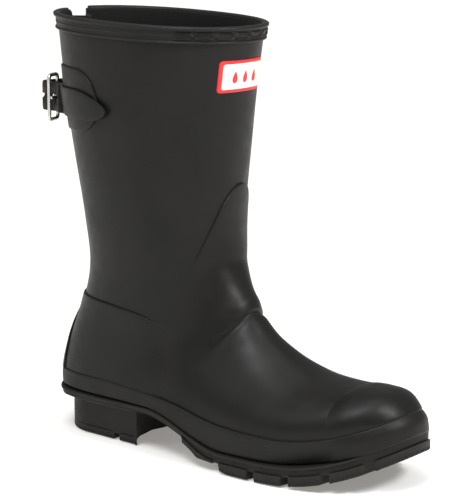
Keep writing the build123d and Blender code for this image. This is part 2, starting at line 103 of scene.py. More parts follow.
FIRST_LUG = np.array([(85, 18), (87, 13.5), (94, 10), (100, 6), (116, 5), (121, 1), (126, 0)], float)
GROOVES = (119, 148, 173, 198, 218)
GROOVE_OUT = 37.0
GROOVE_WIDTH = 5.0
GROOVE_SLANT = 14.0
CHANNEL_WIDTH = 4.5
CHANNEL_Y = 4.0

# One row per cross-section: back x, back z, front x, front z, lateral and medial half
# width, where it is widest, squareness at the back and front, shift to the medial side.
RIBS = np.array([
    (-45.5, 300, 109, 295, 55, 55, .50, 2.2, 2.2, 0),
    (-43.5, 288, 107, 283, 54, 54, .50, 2.2, 2.2, 0),
    (-38, 243, 101, 240, 52, 52, .50, 2.2, 2.2, 0),
    (-30, 194, 96.5, 194, 48, 48, .50, 2.2, 2.2, 0),
    (-23, 152, 94, 157, 44, 44, .50, 2.2, 2.2, 0),
    (-20, 118, 95, 135, 41, 41, .49, 2.2, 2.2, 0),
    (-28.5, 87, 99, 120, 38.5, 38.5, .46, 2.25, 2.2, 0),
    (-38.5, 60, 106, 108, 37, 36.5, .42, 2.5, 2.2, 0),
    (-41, 34, 115, 96, 36.5, 35.5, .36, 3.0, 2.2, 0),
    (-29, 15, 125, 86, 37.5, 35, .33, 3.6, 2.2, 0),
    (13, 13, 136, 78, 39, 35, .31, 4.0, 2.2, 1),
    (58, 9, 150, 70, 42, 38, .30, 4.2, 2.2, 2),
    (103, 2, 167, 63.5, 45, 43, .29, 4.2, 2.25, 3),
    (135, 0, 185, 61, 45.5, 44, .28, 4.2, 2.35, 4),
    (152, 0, 204, 60.5, 43.5, 42, .26, 4.2, 2.45, 5),
    (164, 2, 221, 58, 40.5, 39.5, .22, 4.0, 2.5, 6),
    (165.5, 1, 232.5, 46, 38.5, 38, .16, 4.0, 2.4, 7),
    (166.5, -.5, 236.5, 29, 37.5, 37, .12, 4.0, 2.3, 7),
    (167, -3, 237, 8, 37.5, 37, .10, 4.0, 2.3, 7),
])
LAST_RIB = len(RIBS) - 1.0

SOLE_OUTLINE = np.array([
    (-46, 0), (-42.5, -18), (-30, -34), (0, -40.8), (40, -42), (80, -44.3), (120, -47.3),
    (155, -47.3), (190, -41.5), (215, -31), (232, -17.5), (241, 5),
    (239, 21), (229, 36), (213, 45.5), (190, 50.7), (155, 52.7), (120, 50.7), (90, 46.5),
    (60, 42.2), (20, 39.2), (-10, 38), (-30, 32.8), (-42.5, 17),
], float)


# ---- small helpers ---------------------------------------------------------------

def smooth(t):
    """0 below 0, 1 above 1, an even S between."""
    t = np.clip(t, 0.0, 1.0)
    return t * t * (3 - 2 * t)


def power(value, exponent):
    """Signed power, for superellipses."""
    return np.sign(value) * np.abs(value) ** exponent


def catmull(p0, p1, p2, p3, f):
    """Point of a Catmull-Rom curve between p1 and p2."""
    bend = -p0 + 3 * p1 - 3 * p2 + p3
    return 0.5 * (2 * p1 + (p2 - p0) * f + (2 * p0 - 5 * p1 + 4 * p2 - p3) * f ** 2 + bend * f ** 3)


def curve_through(points, count, closed=False):
    """Even samples of a smooth curve through the points, however far apart they are."""
    points = np.asarray(points, float)
    if closed:
        points = np.vstack([points[-1:], points, points[:2]])
    else:
        first = 2 * points[0] - points[1]
        last = 2 * points[-1] - points[-2]
        points = np.vstack([first, points, last])
    gap = np.linalg.norm(np.diff(points, axis=0), axis=1)[:, None]
    slope = np.diff(points, axis=0) / gap
    tangent = (slope[:-1] * gap[1:] + slope[1:] * gap[:-1]) / (gap[:-1] + gap[1:])
    fine = []
    f = np.linspace(0, 1, 40, endpoint=False)[:, None]
    for i in range(1, len(points) - 2):
        start = points[i] * (2 * f ** 3 - 3 * f ** 2 + 1) + points[i + 1] * (3 * f ** 2 - 2 * f ** 3)
        lean = tangent[i - 1] * (f ** 3 - 2 * f ** 2 + f) + tangent[i] * (f ** 3 - f ** 2)
        fine.append(start + lean * gap[i])
    fine.append(points[-2][None, :])
    return even_points(np.vstack(fine), count, closed)


def even_points(path, count, closed=False):
    """Points spread evenly along a path; a closed path repeats its first point at its end."""
    step = np.linalg.norm(np.diff(path, axis=0), axis=1)
    run = np.concatenate([[0], np.cumsum(step)])
    at = np.linspace(0, run[-1], count, endpoint=not closed)
    return np.stack([np.interp(at, run, path[:, k]) for k in range(path.shape[1])], -1)


# ---- the boot's shape ------------------------------------------------------------

def rib_values(t):
    """Smooth curve through the rib table at each t."""
    first = 2 * RIBS[0] - RIBS[1]
    last = 2 * RIBS[-1] - RIBS[-2]
    table = np.vstack([first, RIBS, last])
    t = np.clip(np.asarray(t, float), 0, LAST_RIB)
    i = np.minimum(t.astype(int), len(RIBS) - 2)
    f = (t - i)[..., None]
    return catmull(table[i], table[i + 1], table[i + 2], table[i + 3], f)


def plain_surface(t, v, offset):
    """Point of the boot's face moved outward by offset. t runs from the rim to the toe;
    v goes round: 0 is the front, pi the back, pi/2 the medial side."""
    values = np.moveaxis(rib_values(t), -1, 0)
    back_x, back_z, front_x, front_z, lateral, medial, widest, sq_b, sq_f, shift = values
    length = np.hypot(front_x - back_x, front_z - back_z)
    ex = (front_x - back_x) / length
    ez = (front_z - back_z) / length
    c, s = np.cos(v), np.sin(v)
    squareness = sq_f + (sq_b - sq_f) * smooth((1 - c) / 2)
    reach = np.where(c > 0, length * (1 - widest), length * widest) + offset
    along = length * widest + reach * power(c, 2 / squareness)
    across = (np.where(s > 0, medial, lateral) + offset) * power(s, 2 / squareness)
    return np.stack([back_x + ex * along, shift + across, back_z + ez * along], -1)


def crease_height(y):
    """The deep fold across the ankle sags towards both sides."""
    return 97.6 - 0.031 * y ** 2


def creases(points):
    """Soft folds over the ankle, where the boot bends, and a slight unevenness all over."""
    x, y, z = points[..., 0], points[..., 1], points[..., 2]
    front = smooth((x - 86) / 14) * smooth((34 - np.abs(y)) / 14)
    fold = (z - crease_height(y)) / np.sqrt(1 + (0.062 * y) ** 2)
    dent = -1.5 * np.exp(-(fold / 1.5) ** 2) + 1.3 * np.exp(-((fold - 6.5) / 4.5) ** 2)
    dent += 0.5 * np.exp(-((fold + 6) / 5.0) ** 2)
    upper = smooth((x - 70) / 20) * -0.4 * np.exp(-((z - 128 - 0.3 * (x - 95)) / 6.0) ** 2)
    wave = 0.2 * np.sin(z / 17 + y / 29) * np.sin(x / 23 + z / 41)
    return front * dent + upper + wave * smooth((z - 40) / 40)


def surface(t, v, offset):
    """The boot's face with its folds; they die out towards the inside of the shell."""
    plain = plain_surface(t, v, offset)
    return plain_surface(t, v, offset + creases(plain) * np.clip(1 + offset / SHELL, 0, 1))


def toe_spring(x):
    """Lift of the sole over the toe."""
    return np.maximum(x - SPRING_START, 0.0) ** 2 / (2 * SPRING_RADIUS)


def seat(x):
    """Height of the face the upper stands on."""
    drop = (HEEL_SEAT - FOREFOOT_SEAT) * smooth((x - SEAT_DROP_START) / SEAT_DROP_LENGTH)
    return HEEL_SEAT - drop + toe_spring(x)


def foxing_top(x):
    """Upper edge of the foxing strip."""
    drop = (HEEL_SEAT - FOREFOOT_SEAT) * smooth((x - FOXING_DROP_START) / FOXING_DROP_LENGTH)
    swell = 3.0 * smooth((x - 20) / 60) + 3.0 * np.exp(-((x - 85) / 35) ** 2)
    return HEEL_SEAT + FOXING_HEIGHT - drop + swell + toe_spring(x)


def plate_bottom(x):
    """Underside of the outsole between the lugs."""
    return seat(x) - 5.0 + 2.0 * smooth((x - 35) / 15) - 4.0 * smooth((x - 72) / 36)


def ground(x):
    """Underside of the forefoot tread."""
    return np.interp(x, FIRST_LUG[:, 0], FIRST_LUG[:, 1]) + toe_spring(x)


def rim_height(x, down=0.0):
    """Height of the tilted rim plane."""
    slope = (RIM_FRONT[1] - RIM_BACK[1]) / (RIM_FRONT[0] - RIM_BACK[0])
    return RIM_BACK[1] + slope * (x - RIM_BACK[0]) - down


def gusset_half(z, extra=0.0):
    """Half width of the V opening at a height."""
    return GUSSET_TOP_HALF * (z - GUSSET_BOTTOM) / (RIM_BACK[1] - GUSSET_BOTTOM) + extra


def leg_point(z, v, offset):
    """Point of the leg's face at a height."""
    t = np.linspace(0, 6, 400)
    heights = surface(t, np.full_like(t, v), offset)[:, 2]
    at = np.interp(-z, -heights, t)
    return surface(at, np.asarray(v, float), offset)


# ---- casting lines on to the shape -------------------------------------------------

TREES = {}
CLEAR_OF_BOOT = 300.0


def shape_tree(offset):
    """Search tree over the boot's face at an offset, made once for each."""
    key = round(float(offset), 3)
    if key not in TREES:
        t = np.linspace(0, LAST_RIB, 620)
        v = even_angles(-np.pi, np.pi, 420, 6.0)[:-1]
        points = surface(t[:, None], v[None, :], offset)
        faces = grid_faces(len(t), len(v), False, True, cap=False)
        TREES[key] = BVHTree.FromPolygons(points.reshape(-1, 3).tolist(), faces)
    return TREES[key]


def cast(offset, origins, directions):
    """Where each line first meets the boot's face at an offset."""
    tree = shape_tree(offset)
    hits = []
    for origin, direction in zip(origins, directions):
        hit = tree.ray_cast(Vector(origin), Vector(direction))[0]
        if hit is None:
            hit = tree.find_nearest(Vector(origin))[0]
        hits.append(hit)
    return np.array(hits)


def seen_from(view, a, b):
    """Straight lines on to the boot from one side, through points (a, b) of a plane in front of
    that side: origins and directions."""
    a, b = np.ravel(a), np.ravel(b)
    far = np.full_like(a, CLEAR_OF_BOOT)
    if view == "left":
        return np.stack([a, -far, b], 1), np.tile((0.0, 1.0, 0.0), (len(a), 1))
    if view == "right":
        return np.stack([a, far, b], 1), np.tile((0.0, -1.0, 0.0), (len(a), 1))
    if view == "back":
        return np.stack([-far, a, b], 1), np.tile((1.0, 0.0, 0.0), (len(a), 1))
    return np.stack([far, a, b], 1), np.tile((-1.0, 0.0, 0.0), (len(a), 1))


def lay(view, a, b, base, thick, lift):
    """Points laid on the boot as seen from one side; lift 0 is at base, 1 is thick above."""
    shape = np.shape(a)
    origins, directions = seen_from(view, a, b)
    low = cast(base, origins, directions)
    high = cast(base + thick, origins, directions)
    lift = np.ravel(np.broadcast_to(lift, shape))[:, None]
    return (low + (high - low) * lift).reshape(*shape, 3)


# ---- meshes ------------------------------------------------------------------------

def grid_faces(columns, rows, close_columns, close_rows, cap=True):
    """Quads over a grid of vertices numbered column by column, with caps on open ends."""
    faces = []
    for i in range(columns if close_columns else columns - 1):
        a = i * rows
        b = ((i + 1) % columns) * rows
        for k in range(rows if close_rows else rows - 1):
            m = (k + 1) % rows
            faces.append((a + k, b + k, b + m, a + m))
    if cap and close_rows and not close_columns:
        faces.append(tuple(range(rows)))
        faces.append(tuple((columns - 1) * rows + k for k in reversed(range(rows))))
    return faces


def tidy_mesh(mesh, sharp):
    """Merge doubles, turn the faces outward and mark edges sharper than an angle."""
    bm = bmesh.new()
    bm.from_mesh(mesh)
    bmesh.ops.remove_doubles(bm, verts=bm.verts, dist=0.004 * MM)
    bmesh.ops.dissolve_degenerate(bm, edges=bm.edges, dist=0.001 * MM)
    bmesh.ops.recalc_face_normals(bm, faces=bm.faces)
    for face in bm.faces:
        face.smooth = True
    for edge in bm.edges:
        if len(edge.link_faces) == 2 and edge.calc_face_angle(0) > radians(sharp):
            edge.smooth = False
    bm.to_mesh(mesh)
    bm.free()


def make_object(name, vertices, faces, material, sharp=40.0):
    """Mesh object from millimetre vertices, shaded smooth."""
    mesh = bpy.data.meshes.new(name)
    mesh.from_pydata((np.asarray(vertices, float).reshape(-1, 3) * MM).tolist(), [], faces)
    tidy_mesh(mesh, sharp)
    obj = bpy.data.objects.new(name, mesh)
    bpy.context.collection.objects.link(obj)
    mesh.materials.append(material)
    return obj


def join_parts(name, parts, material, sharp=40.0):
    """One object from several (vertices, faces) lists."""
    vertices = []
    faces = []
    for part_vertices, part_faces in parts:
        part_vertices = np.asarray(part_vertices, float).reshape(-1, 3)
        start = sum(len(v) for v in vertices)
        vertices.append(part_vertices)
        faces += [tuple(i + start for i in face) for face in part_faces]
    return make_object(name, np.vstack(vertices), faces, material, sharp)


def grid_object(name, points, material, close_columns=False, close_rows=True, sharp=40.0):
    """Mesh object from a grid of points, columns x rows."""
    faces = grid_faces(*points.shape[:2], close_columns, close_rows)
    return make_object(name, points, faces, material, sharp)


def dress(obj, *nodes, body="boot", look="rubber_black"):
    """Ride the body and stand for CAD nodes; look is not used."""
    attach(obj, body)
    if nodes:
        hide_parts(*nodes)


# ---- layers that run down the boot ---------------------------------------------------

def even_angles(start, end, count, t):
    """Angles round a rib spaced evenly along its length."""
    fine = np.linspace(start, end, 4000)
    points = plain_surface(np.full_like(fine, t), fine, 0.0)
    run = np.concatenate([[0], np.cumsum(np.linalg.norm(np.diff(points, axis=0), axis=1))])
    return np.interp(np.linspace(0, run[-1], count), run, fine)


def even_rows(top, bottom, count):
    """Distances spread evenly between two edges: columns x count."""
    return top[:, None] + (bottom - top)[:, None] * np.linspace(0, 1, count)[None, :]


class Sheet:
    """Columns running down the boot's face, with their length measured along it."""

    def __init__(self, v):
        self.v = np.asarray(v, float)
        self.t = np.linspace(0, LAST_RIB, 1500)
        self.points = surface(self.t[None, :], self.v[:, None], 0.0)
        step = np.linalg.norm(np.diff(self.points, axis=1), axis=2)
        self.run = np.concatenate([np.zeros((len(self.v), 1)), np.cumsum(step, axis=1)], axis=1)

    def first_below(self, level, after=None):
        """Distance down each column to where level(x, y, z) first drops to zero."""
        value = level(self.points[..., 0], self.points[..., 1], self.points[..., 2])
        if after is not None:
            value = np.where(self.run < after[:, None], 1.0, value)
        under = value <= 0
        hit = np.where(under.any(axis=1), np.argmax(under, axis=1), len(self.t) - 1)
        hit = np.maximum(hit, 1)
        rows = np.arange(len(self.v))
        before, behind = value[rows, hit - 1], value[rows, hit]
        drop = np.where(before - behind == 0, 1, before - behind)
        part = np.clip(before / drop, 0, 1)
        low, high = self.run[rows, hit - 1], self.run[rows, hit]
        return low + part * (high - low)

    def keep(self, mask):
        """Drop columns."""
        self.v, self.run, self.points = self.v[mask], self.run[mask], self.points[mask]

    def place(self, down, offset):
        """Points at distances down the columns, with outward offsets."""
        t = np.stack([np.interp(d, run, self.t) for d, run in zip(down, self.run)])
        return surface(t, self.v[:, None], offset)

    def stretch(self, edge):
        """How much longer the edge is than the columns are apart: 1 where it is square to them."""
        points = self.place(edge[:, None], 0.0)[:, 0]
        apart = np.linalg.norm(np.gradient(points, axis=0), axis=1)
        climb = np.abs(np.gradient(edge))
        level = np.sqrt(np.maximum(apart ** 2 - climb ** 2, (0.15 * apart) ** 2))
        return np.clip(apart / np.maximum(level, 1e-6), 1, 6)


def rounded_profile(sheet, top, bottom, base, thick, radius, step, level=False):
    """Closed cross-section of a layer in every column: rounded edges, face and underside.
    Rows are spread evenly in each column, or keep to the same ribs when level is set."""
    length = np.maximum(bottom - top, 0.0)
    rows = max(int(np.max(length) / step), 3)
    turn = np.linspace(0, np.pi / 2, 6)[None, :]
    squeeze = np.clip(length / (3 * radius), 0, 1)[:, None]
    top_radius = np.minimum(radius * sheet.stretch(top), 0.45 * length)[:, None]
    bottom_radius = np.minimum(radius * sheet.stretch(bottom), 0.45 * length)[:, None]
    rise = base + thick * squeeze * np.sin(turn)
    start = top[:, None] + top_radius * (1 - np.cos(turn))
    finish = bottom[:, None] - bottom_radius * (1 - np.cos(turn[:, ::-1]))
    if level:
        ribs = np.linspace(0, len(sheet.t) - 1, rows).astype(int)
        middle = np.clip(sheet.run[:, ribs], start[:, -1:], finish[:, :1])
        back = np.clip(sheet.run[:, ribs[::-4]], top[:, None], bottom[:, None])
    else:
        middle = even_rows(start[:, -1], finish[:, 0], rows + 2)[:, 1:-1]
        back = even_rows(bottom, top, max(rows // 5, 2) + 2)[:, 1:-1]
    face = base + thick * squeeze + 0 * middle
    down = np.concatenate([start, middle, finish, back], axis=1)
    offset = np.concatenate([rise, face, rise[:, ::-1], np.full_like(back, base)], axis=1)
    return down, offset


def panel(name, material, v, level_top, level_bottom, base, thick, radius=0.9, step=1.8, fade=None,
          level=False):
    """A layer on the boot between two level lines, as a closed mesh with rounded edges.
    fade(x, y, z) gives the share of its thickness it keeps, where it melts into the shell."""
    closed = abs(v[-1] - v[0] - TAU) < 1e-6
    sheet = Sheet(v[:-1] if closed else v)
    top = sheet.first_below(level_top)
    bottom = np.maximum(sheet.first_below(level_bottom, after=top), top)
    if not closed:
        wide = np.flatnonzero(bottom - top > 0.3)
        mask = np.zeros(len(sheet.v), bool)
        mask[wide[0]:wide[-1] + 1] = True
        sheet.keep(mask)
        top, bottom = top[mask], bottom[mask]
    down, offset = rounded_profile(sheet, top, bottom, base, thick, radius, step, level)
    points = sheet.place(down, offset)
    if fade is not None:
        share = fade(points[..., 0], points[..., 1], points[..., 2])
        points = sheet.place(down, base + (offset - base) * share - 0.3 * (1 - share))
    return grid_object(name, points, material, closed)


# ---- pads seen from one side -----------------------------------------------------------

def pad_mesh(outline, spine, view, base, thick, radius, rings=6):
    """Cushion with rounded edges inside a closed outline; spine is where its rings close."""
    ahead = np.roll(outline, -1, axis=0) - np.roll(outline, 1, axis=0)
    normal = np.stack([-ahead[:, 1], ahead[:, 0]], 1)
    normal /= np.linalg.norm(normal, axis=1)[:, None]
    inward = np.sum(normal * (spine - outline), axis=1).mean()
    normal *= np.sign(inward)
    loops = []
    lifts = []
    for turn in np.linspace(0, np.pi / 2, 6):
        loops.append(outline + normal * radius * (1 - math.cos(turn)))
        lifts.append(math.sin(turn))
    inner = loops[-1]
    for part in np.linspace(0, 1, rings + 1)[1:]:
        loops.append(inner + (spine - inner) * part)
        lifts.append(1.0)
    under = rings // 2 + 1
    for part in np.linspace(1, 0, under + 1)[:-1]:
        loops.append(outline + (spine - outline) * part)
        lifts.append(0.0)
    loops = np.array(loops)
    lift = np.array(lifts)[:, None] + np.zeros(loops.shape[:2])
    points = lay(view, loops[..., 0], loops[..., 1], base, thick, lift)
    count = len(outline)
    top_end = 6 + rings - 1
    faces = []
    for r in range(len(loops)):
        if r == top_end:
            continue
        s = (r + 1) % len(loops)
        for i in range(count):
            k = (i + 1) % count
            faces.append((r * count + i, r * count + k, s * count + k, s * count + i))
    return points.reshape(-1, 3), faces


def pad(name, material, outline, spine, view, base, thick, radius=0.8, rings=6):
    """A pad as its own object."""
    vertices, faces = pad_mesh(outline, spine, view, base, thick, radius, rings)
    return make_object(name, vertices, faces, material)


def rounded_rectangle(half_width, bottom, top, corner, count):
    """Closed outline of a rectangle with round corners."""
    points = []
    for cx, cz, start in ((half_width, top, 0), (-half_width, top, 90), (-half_width, bottom, 180),
                          (half_width, bottom, 270)):
        px = cx - math.copysign(corner, cx)
        pz = cz - corner if cz == top else cz + corner
        for angle in np.linspace(start, start + 90, 8):
            points.append((px + corner * math.cos(radians(angle)), pz + corner * math.sin(radians(angle))))
    points.append(points[0])
    return even_points(np.array(points), count, closed=True)


def strip_mesh(left, right, view, base, thick, radius, ridge=0.0):
    """Strip between two lines seen from one side, with rounded long edges."""
    width = np.linalg.norm(right - left, axis=1)[:, None]
    turn = np.linspace(0, np.pi / 2, 5)
    edge = radius * (1 - np.cos(turn))
    flat = np.linspace(0, 1, 7)[1:-1]
    inner = radius / width
    across = np.concatenate([
        edge / width, inner + (1 - 2 * inner) * flat, 1 - edge[::-1] / width,
        np.broadcast_to([0.75, 0.5, 0.25], (len(left), 3))], axis=1)
    crown = ridge * np.sin(np.pi * flat)
    lift = np.concatenate([np.sin(turn), 1 + crown, np.sin(turn)[::-1], np.zeros(3)])
    ends = smooth(np.minimum(np.arange(len(left)), np.arange(len(left))[::-1]) / 1.5 + 0.25)
    points = left[:, None, :] + (right - left)[:, None, :] * across[..., None]
    lift = lift[None, :] * ends[:, None]
    return lay(view, points[..., 0], points[..., 1], base, thick, lift)


def strip(name, material, left, right, view, base, thick, radius=0.8, ridge=0.0):
    """A strip as its own object."""
    return grid_object(name, strip_mesh(left, right, view, base, thick, radius, ridge), material)


# ---- strips that run round the boot --------------------------------------------------------

SPINE = np.array([(-5.0, 0.0), (185.0, 5.0)])


def rays_around(outline):
    """Level lines from the sole's spine out through every point of an outline."""
    along = SPINE[1] - SPINE[0]
    part = np.clip((outline - SPINE[0]) @ along / (along @ along), 0, 1)
    origins = SPINE[0] + part[:, None] * along
    directions = outline - origins
    return origins, directions / np.linalg.norm(directions, axis=1)[:, None]


def wrap_points(outline, height, base, thick, rise, lift):
    """Rows of points round the boot: height(x) + rise above it, lifted off the face."""
    origins, directions = rays_around(outline)
    level = np.concatenate([directions, np.zeros((len(outline), 1))], axis=1)
    rows = []
    for k in range(len(rise)):
        x = outline[:, 0]
        for _ in range(3):
            z = height(x) + rise[k]
            starts = np.column_stack([origins, z])
            low = cast(base, starts, level)
            x = low[:, 0]
        high = cast(base + thick, starts, level)
        rows.append(low + (high - low) * np.reshape(lift[k], (-1, 1)))
    return np.stack(rows, axis=1)


# ---- materials -------------------------------------------------------------------

def new_material(name):
    """Empty node material: (material, node maker, link maker, shader, output)."""
    material = bpy.data.materials.new(name)
    material.use_nodes = True
    nodes = material.node_tree.nodes
    nodes.clear()
    output = nodes.new("ShaderNodeOutputMaterial")
    shader = nodes.new("ShaderNodeBsdfPrincipled")
    link = material.node_tree.links.new
    link(shader.outputs["BSDF"], output.inputs["Surface"])
    return material, nodes, link, shader


def coordinates(nodes):
    """Object coordinates; every piece sits at the origin, so these are metres."""
    return nodes.new("ShaderNodeTexCoord").outputs["Object"]


def noise(nodes, link, vector, scale, detail=3.0, roughness=0.5):
    """Noise texture's value."""
    node = nodes.new("ShaderNodeTexNoise")
    node.inputs["Scale"].default_value = scale
    node.inputs["Detail"].default_value = detail
    node.inputs["Roughness"].default_value = roughness
    link(vector, node.inputs["Vector"])
    return node.outputs["Fac"]


def ramp(nodes, link, value, low, high, start=0.3, end=0.7):
    """Map a value to a range, clamped."""
    node = nodes.new("ShaderNodeMapRange")
    node.inputs["From Min"].default_value = start
    node.inputs["From Max"].default_value = end
    node.inputs["To Min"].default_value = low
    node.inputs["To Max"].default_value = high
    link(value, node.inputs["Value"])
    return node.outputs["Result"]


def mix_colour(nodes, link, factor, first, second):
    """Mix two colours by a value; either colour may be a socket."""
    node = nodes.new("ShaderNodeMix")
    node.data_type = "RGBA"
    link(factor, node.inputs["Factor"])
    for socket, colour in ((node.inputs[6], first), (node.inputs[7], second)):
        if hasattr(colour, "is_output"):
            link(colour, socket)
        else:
            socket.default_value = (*colour, 1.0)
    return node.outputs[2]


def math_node(nodes, link, operation, first, second=None):
    """One math node; inputs are sockets or numbers."""
    node = nodes.new("ShaderNodeMath")
    node.operation = operation
    for socket, value in zip(node.inputs, (first, second)):
        if value is None:
            continue
        if hasattr(value, "is_output"):
            link(value, socket)
        else:
            socket.default_value = value
    return node.outputs[0]


def bump(nodes, link, height, distance, strength=1.0, normal=None):
    """Bump node's normal."""
    node = nodes.new("ShaderNodeBump")
    node.inputs["Strength"].default_value = strength
    node.inputs["Distance"].default_value = distance
    link(height, node.inputs["Height"])
    if normal is not None:
        link(normal, node.inputs["Normal"])
    return node.outputs["Normal"]


def rubber(name, dark, bloom, rough, grain=0.00006, coat=0.0):
    """Moulded rubber: fine pebbling, cloudy bloom and a painted highlight that makes sharp edges paler."""
    material, nodes, link, shader = new_material(name)
    where = coordinates(nodes)
    cloud = noise(nodes, link, where, 26.0, 4.0)
    specks = noise(nodes, link, where, 900.0, 2.0)
    smear = noise(nodes, link, where, 90.0, 5.0, 0.65)
    colour = mix_colour(nodes, link, ramp(nodes, link, cloud, 0.0, 1.0, 0.35, 0.75), dark, bloom)
    # Painted highlight: sharp convex edges, found by Pointiness, are mixed part way towards a colour about
    # twice as pale as the bloom.
    geometry = nodes.new("ShaderNodeNewGeometry")
    edge = ramp(nodes, link, geometry.outputs["Pointiness"], 0.0, 0.55, 0.515, 0.60)
    edge_highlight_colour = tuple(min(1.0, c * 2.1) for c in bloom)
    colour = mix_colour(nodes, link, edge, colour, edge_highlight_colour)
    link(colour, shader.inputs["Base Color"])
    link(ramp(nodes, link, smear, rough - 0.06, rough + 0.08, 0.3, 0.7), shader.inputs["Roughness"])
    shader.inputs["Specular IOR Level"].default_value = 0.19
    shader.inputs["Coat Weight"].default_value = coat
    shader.inputs["Coat Roughness"].default_value = 0.35
    pebble = bump(nodes, link, specks, grain, 0.5)
    wave = bump(nodes, link, smear, 0.0002, 0.25, pebble)
    link(wave, shader.inputs["Normal"])
    return material


def knit(name, colour, second, scale, sheen=0.3):
    """Fine knitted or woven cloth."""
    material, nodes, link, shader = new_material(name)
    where = coordinates(nodes)
    weave = None
    for axis, direction in (("X", "DIAGONAL"), ("Z", "Z")):
        wave = nodes.new("ShaderNodeTexWave")
        wave.bands_direction = direction
        wave.inputs["Scale"].default_value = scale
        wave.inputs["Distortion"].default_value = 0.6
        link(where, wave.inputs["Vector"])
        value = wave.outputs["Fac"]
        weave = value if weave is None else math_node(nodes, link, "MULTIPLY", weave, value)
    fuzz = noise(nodes, link, where, 1500.0, 2.0)
    blend = math_node(nodes, link, "ADD", math_node(nodes, link, "MULTIPLY", weave, 0.7), fuzz)
    link(mix_colour(nodes, link, ramp(nodes, link, blend, 0.0, 1.0, 0.3, 1.1), colour, second),
         shader.inputs["Base Color"])
    shader.inputs["Roughness"].default_value = 0.9
    shader.inputs["Specular IOR Level"].default_value = 0.15
    shader.inputs["Sheen Weight"].default_value = sheen
    link(bump(nodes, link, blend, 0.0003, 0.6), shader.inputs["Normal"])
    return material


def metal(name, colour, rough, scratch_scale):
    """Plated or brushed metal with fine scratches."""
    material, nodes, link, shader = new_material(name)
    where = coordinates(nodes)
    scratch = noise(nodes, link, where, scratch_scale, 3.0, 0.7)
    spots = noise(nodes, link, where, 260.0, 3.0)
    duller = tuple(c * 0.72 for c in colour)
    link(mix_colour(nodes, link, ramp(nodes, link, spots, 0.0, 1.0, 0.5, 0.8), colour, duller),
         shader.inputs["Base Color"])
    shader.inputs["Metallic"].default_value = 1.0
    link(ramp(nodes, link, scratch, rough, rough + 0.15), shader.inputs["Roughness"])
    link(bump(nodes, link, scratch, 0.00004, 0.4), shader.inputs["Normal"])
    return material


def paint(name, colour, second, rough):
    """Moulded coloured rubber or plastic with faint mottling."""
    material, nodes, link, shader = new_material(name)
    where = coordinates(nodes)
    cloud = noise(nodes, link, where, 320.0, 4.0, 0.6)
    grain = noise(nodes, link, where, 1400.0, 2.0)
    link(mix_colour(nodes, link, ramp(nodes, link, cloud, 0.0, 1.0, 0.35, 0.75), colour, second),
         shader.inputs["Base Color"])
    link(ramp(nodes, link, grain, rough, rough + 0.12), shader.inputs["Roughness"])
    link(bump(nodes, link, grain, 0.00005, 0.5), shader.inputs["Normal"])
    return material


UPPER = rubber("upper_rubber", (0.0052, 0.0049, 0.0045), (0.0080, 0.0075, 0.0069), 0.42)
TRIM = rubber("trim_rubber", (0.0065, 0.0061, 0.0056), (0.0095, 0.0089, 0.0082), 0.46)
SOLE = rubber("sole_rubber", (0.0080, 0.0074, 0.0067), (0.0115, 0.0106, 0.0098), 0.60, 0.0001)
FOAM = rubber("foam_rubber", (0.05, 0.048, 0.045), (0.09, 0.085, 0.08), 0.9, 0.0004)
GUSSET_CLOTH = knit("gusset_cloth", (0.008, 0.008, 0.008), (0.018, 0.018, 0.017), 420.0, 0.05)
# Lining colour near black: partly the knit's own dark colour, and partly painted shade for the inside of the
# leg.
LINING_KNIT_PAINTED_SHADE = knit("lining_knit", (0.0035, 0.0034, 0.0033), (0.0090, 0.0088, 0.0086), 330.0, 0.02)
FELT = knit("footbed_felt", (0.03, 0.03, 0.032), (0.07, 0.07, 0.072), 500.0)
BOARD = paint("fibre_board", (0.33, 0.25, 0.16), (0.22, 0.16, 0.10), 0.8)
STIFF = paint("stiffener_sheet", (0.24, 0.21, 0.17), (0.16, 0.14, 0.11), 0.75)
NICKEL = metal("nickel_plate", (0.62, 0.60, 0.56), 0.22, 700.0)
STEEL = metal("spring_steel", (0.55, 0.56, 0.58), 0.3, 1200.0)
LABEL_RED = paint("label_red", (0.62, 0.022, 0.026), (0.52, 0.016, 0.02), 0.42)
LABEL_CREAM = paint("label_cream", (0.80, 0.77, 0.66), (0.74, 0.71, 0.60), 0.45)


# ---- the upper ---------------------------------------------------------------------

REAR_ANGLE = 0.24              # the columns are closer together this far either side of the V

def build_skin():
    """The shell from the rim to the sole, with the V opening cut out at the back."""
    sides = even_angles(-np.pi + REAR_ANGLE, np.pi - REAR_ANGLE, 380, 8.0)
    rear = np.linspace(np.pi - REAR_ANGLE, np.pi + REAR_ANGLE, 120)[1:]

    def top(x, y, z):
        opening = np.where(x < 20, gusset_half(z, 0.3) - np.abs(y), -1.0)
        return np.maximum(z - rim_height(x, 1.4), opening)

    def bottom(x, y, z):
        return z - seat(x) + 2.0

    skin = panel("upper_skin", UPPER, np.concatenate([sides, rear]), top, bottom, -SHELL, SHELL, 0.5, 1.5,
                 level=True)
    dress(skin, "leg_shell", "vamp")


def build_instep():
    """Tongue-shaped layer over the front of the ankle."""
    lateral = [(-40, 70), (-37, 96), (-31, 118), (-24, 140), (-17, 156), (-10, 168.5), (-1, 177.5)]
    medial = [(8, 181), (17, 177.5), (24, 168.5), (29, 156), (33, 140), (37, 118), (39, 96), (41, 70)]
    tongue = curve_through([*lateral, *medial], 400)
    lower = curve_through([(160, 112), (118, 95), (106, 83), (94, 82), (82, 94), (60, 120)], 300)

    def top(x, y, z):
        return z - np.interp(y, tongue[:, 0], tongue[:, 1])

    def bottom(x, y, z):
        side = np.interp(x, lower[::-1, 0], lower[::-1, 1])
        return z - np.where(x > 100, np.maximum(crease_height(y), 80), side)

    v = even_angles(-1.9, 1.9, 300, 5.0)
    layer = panel("instep_layer", UPPER, v, top, bottom, GAP, PANEL, 0.8, 0.8,
                  lambda x, y, z: smooth((z - 118) / 30 + 0.9 * smooth((x - 84) / 14)))
    dress(layer, "instep_panel")


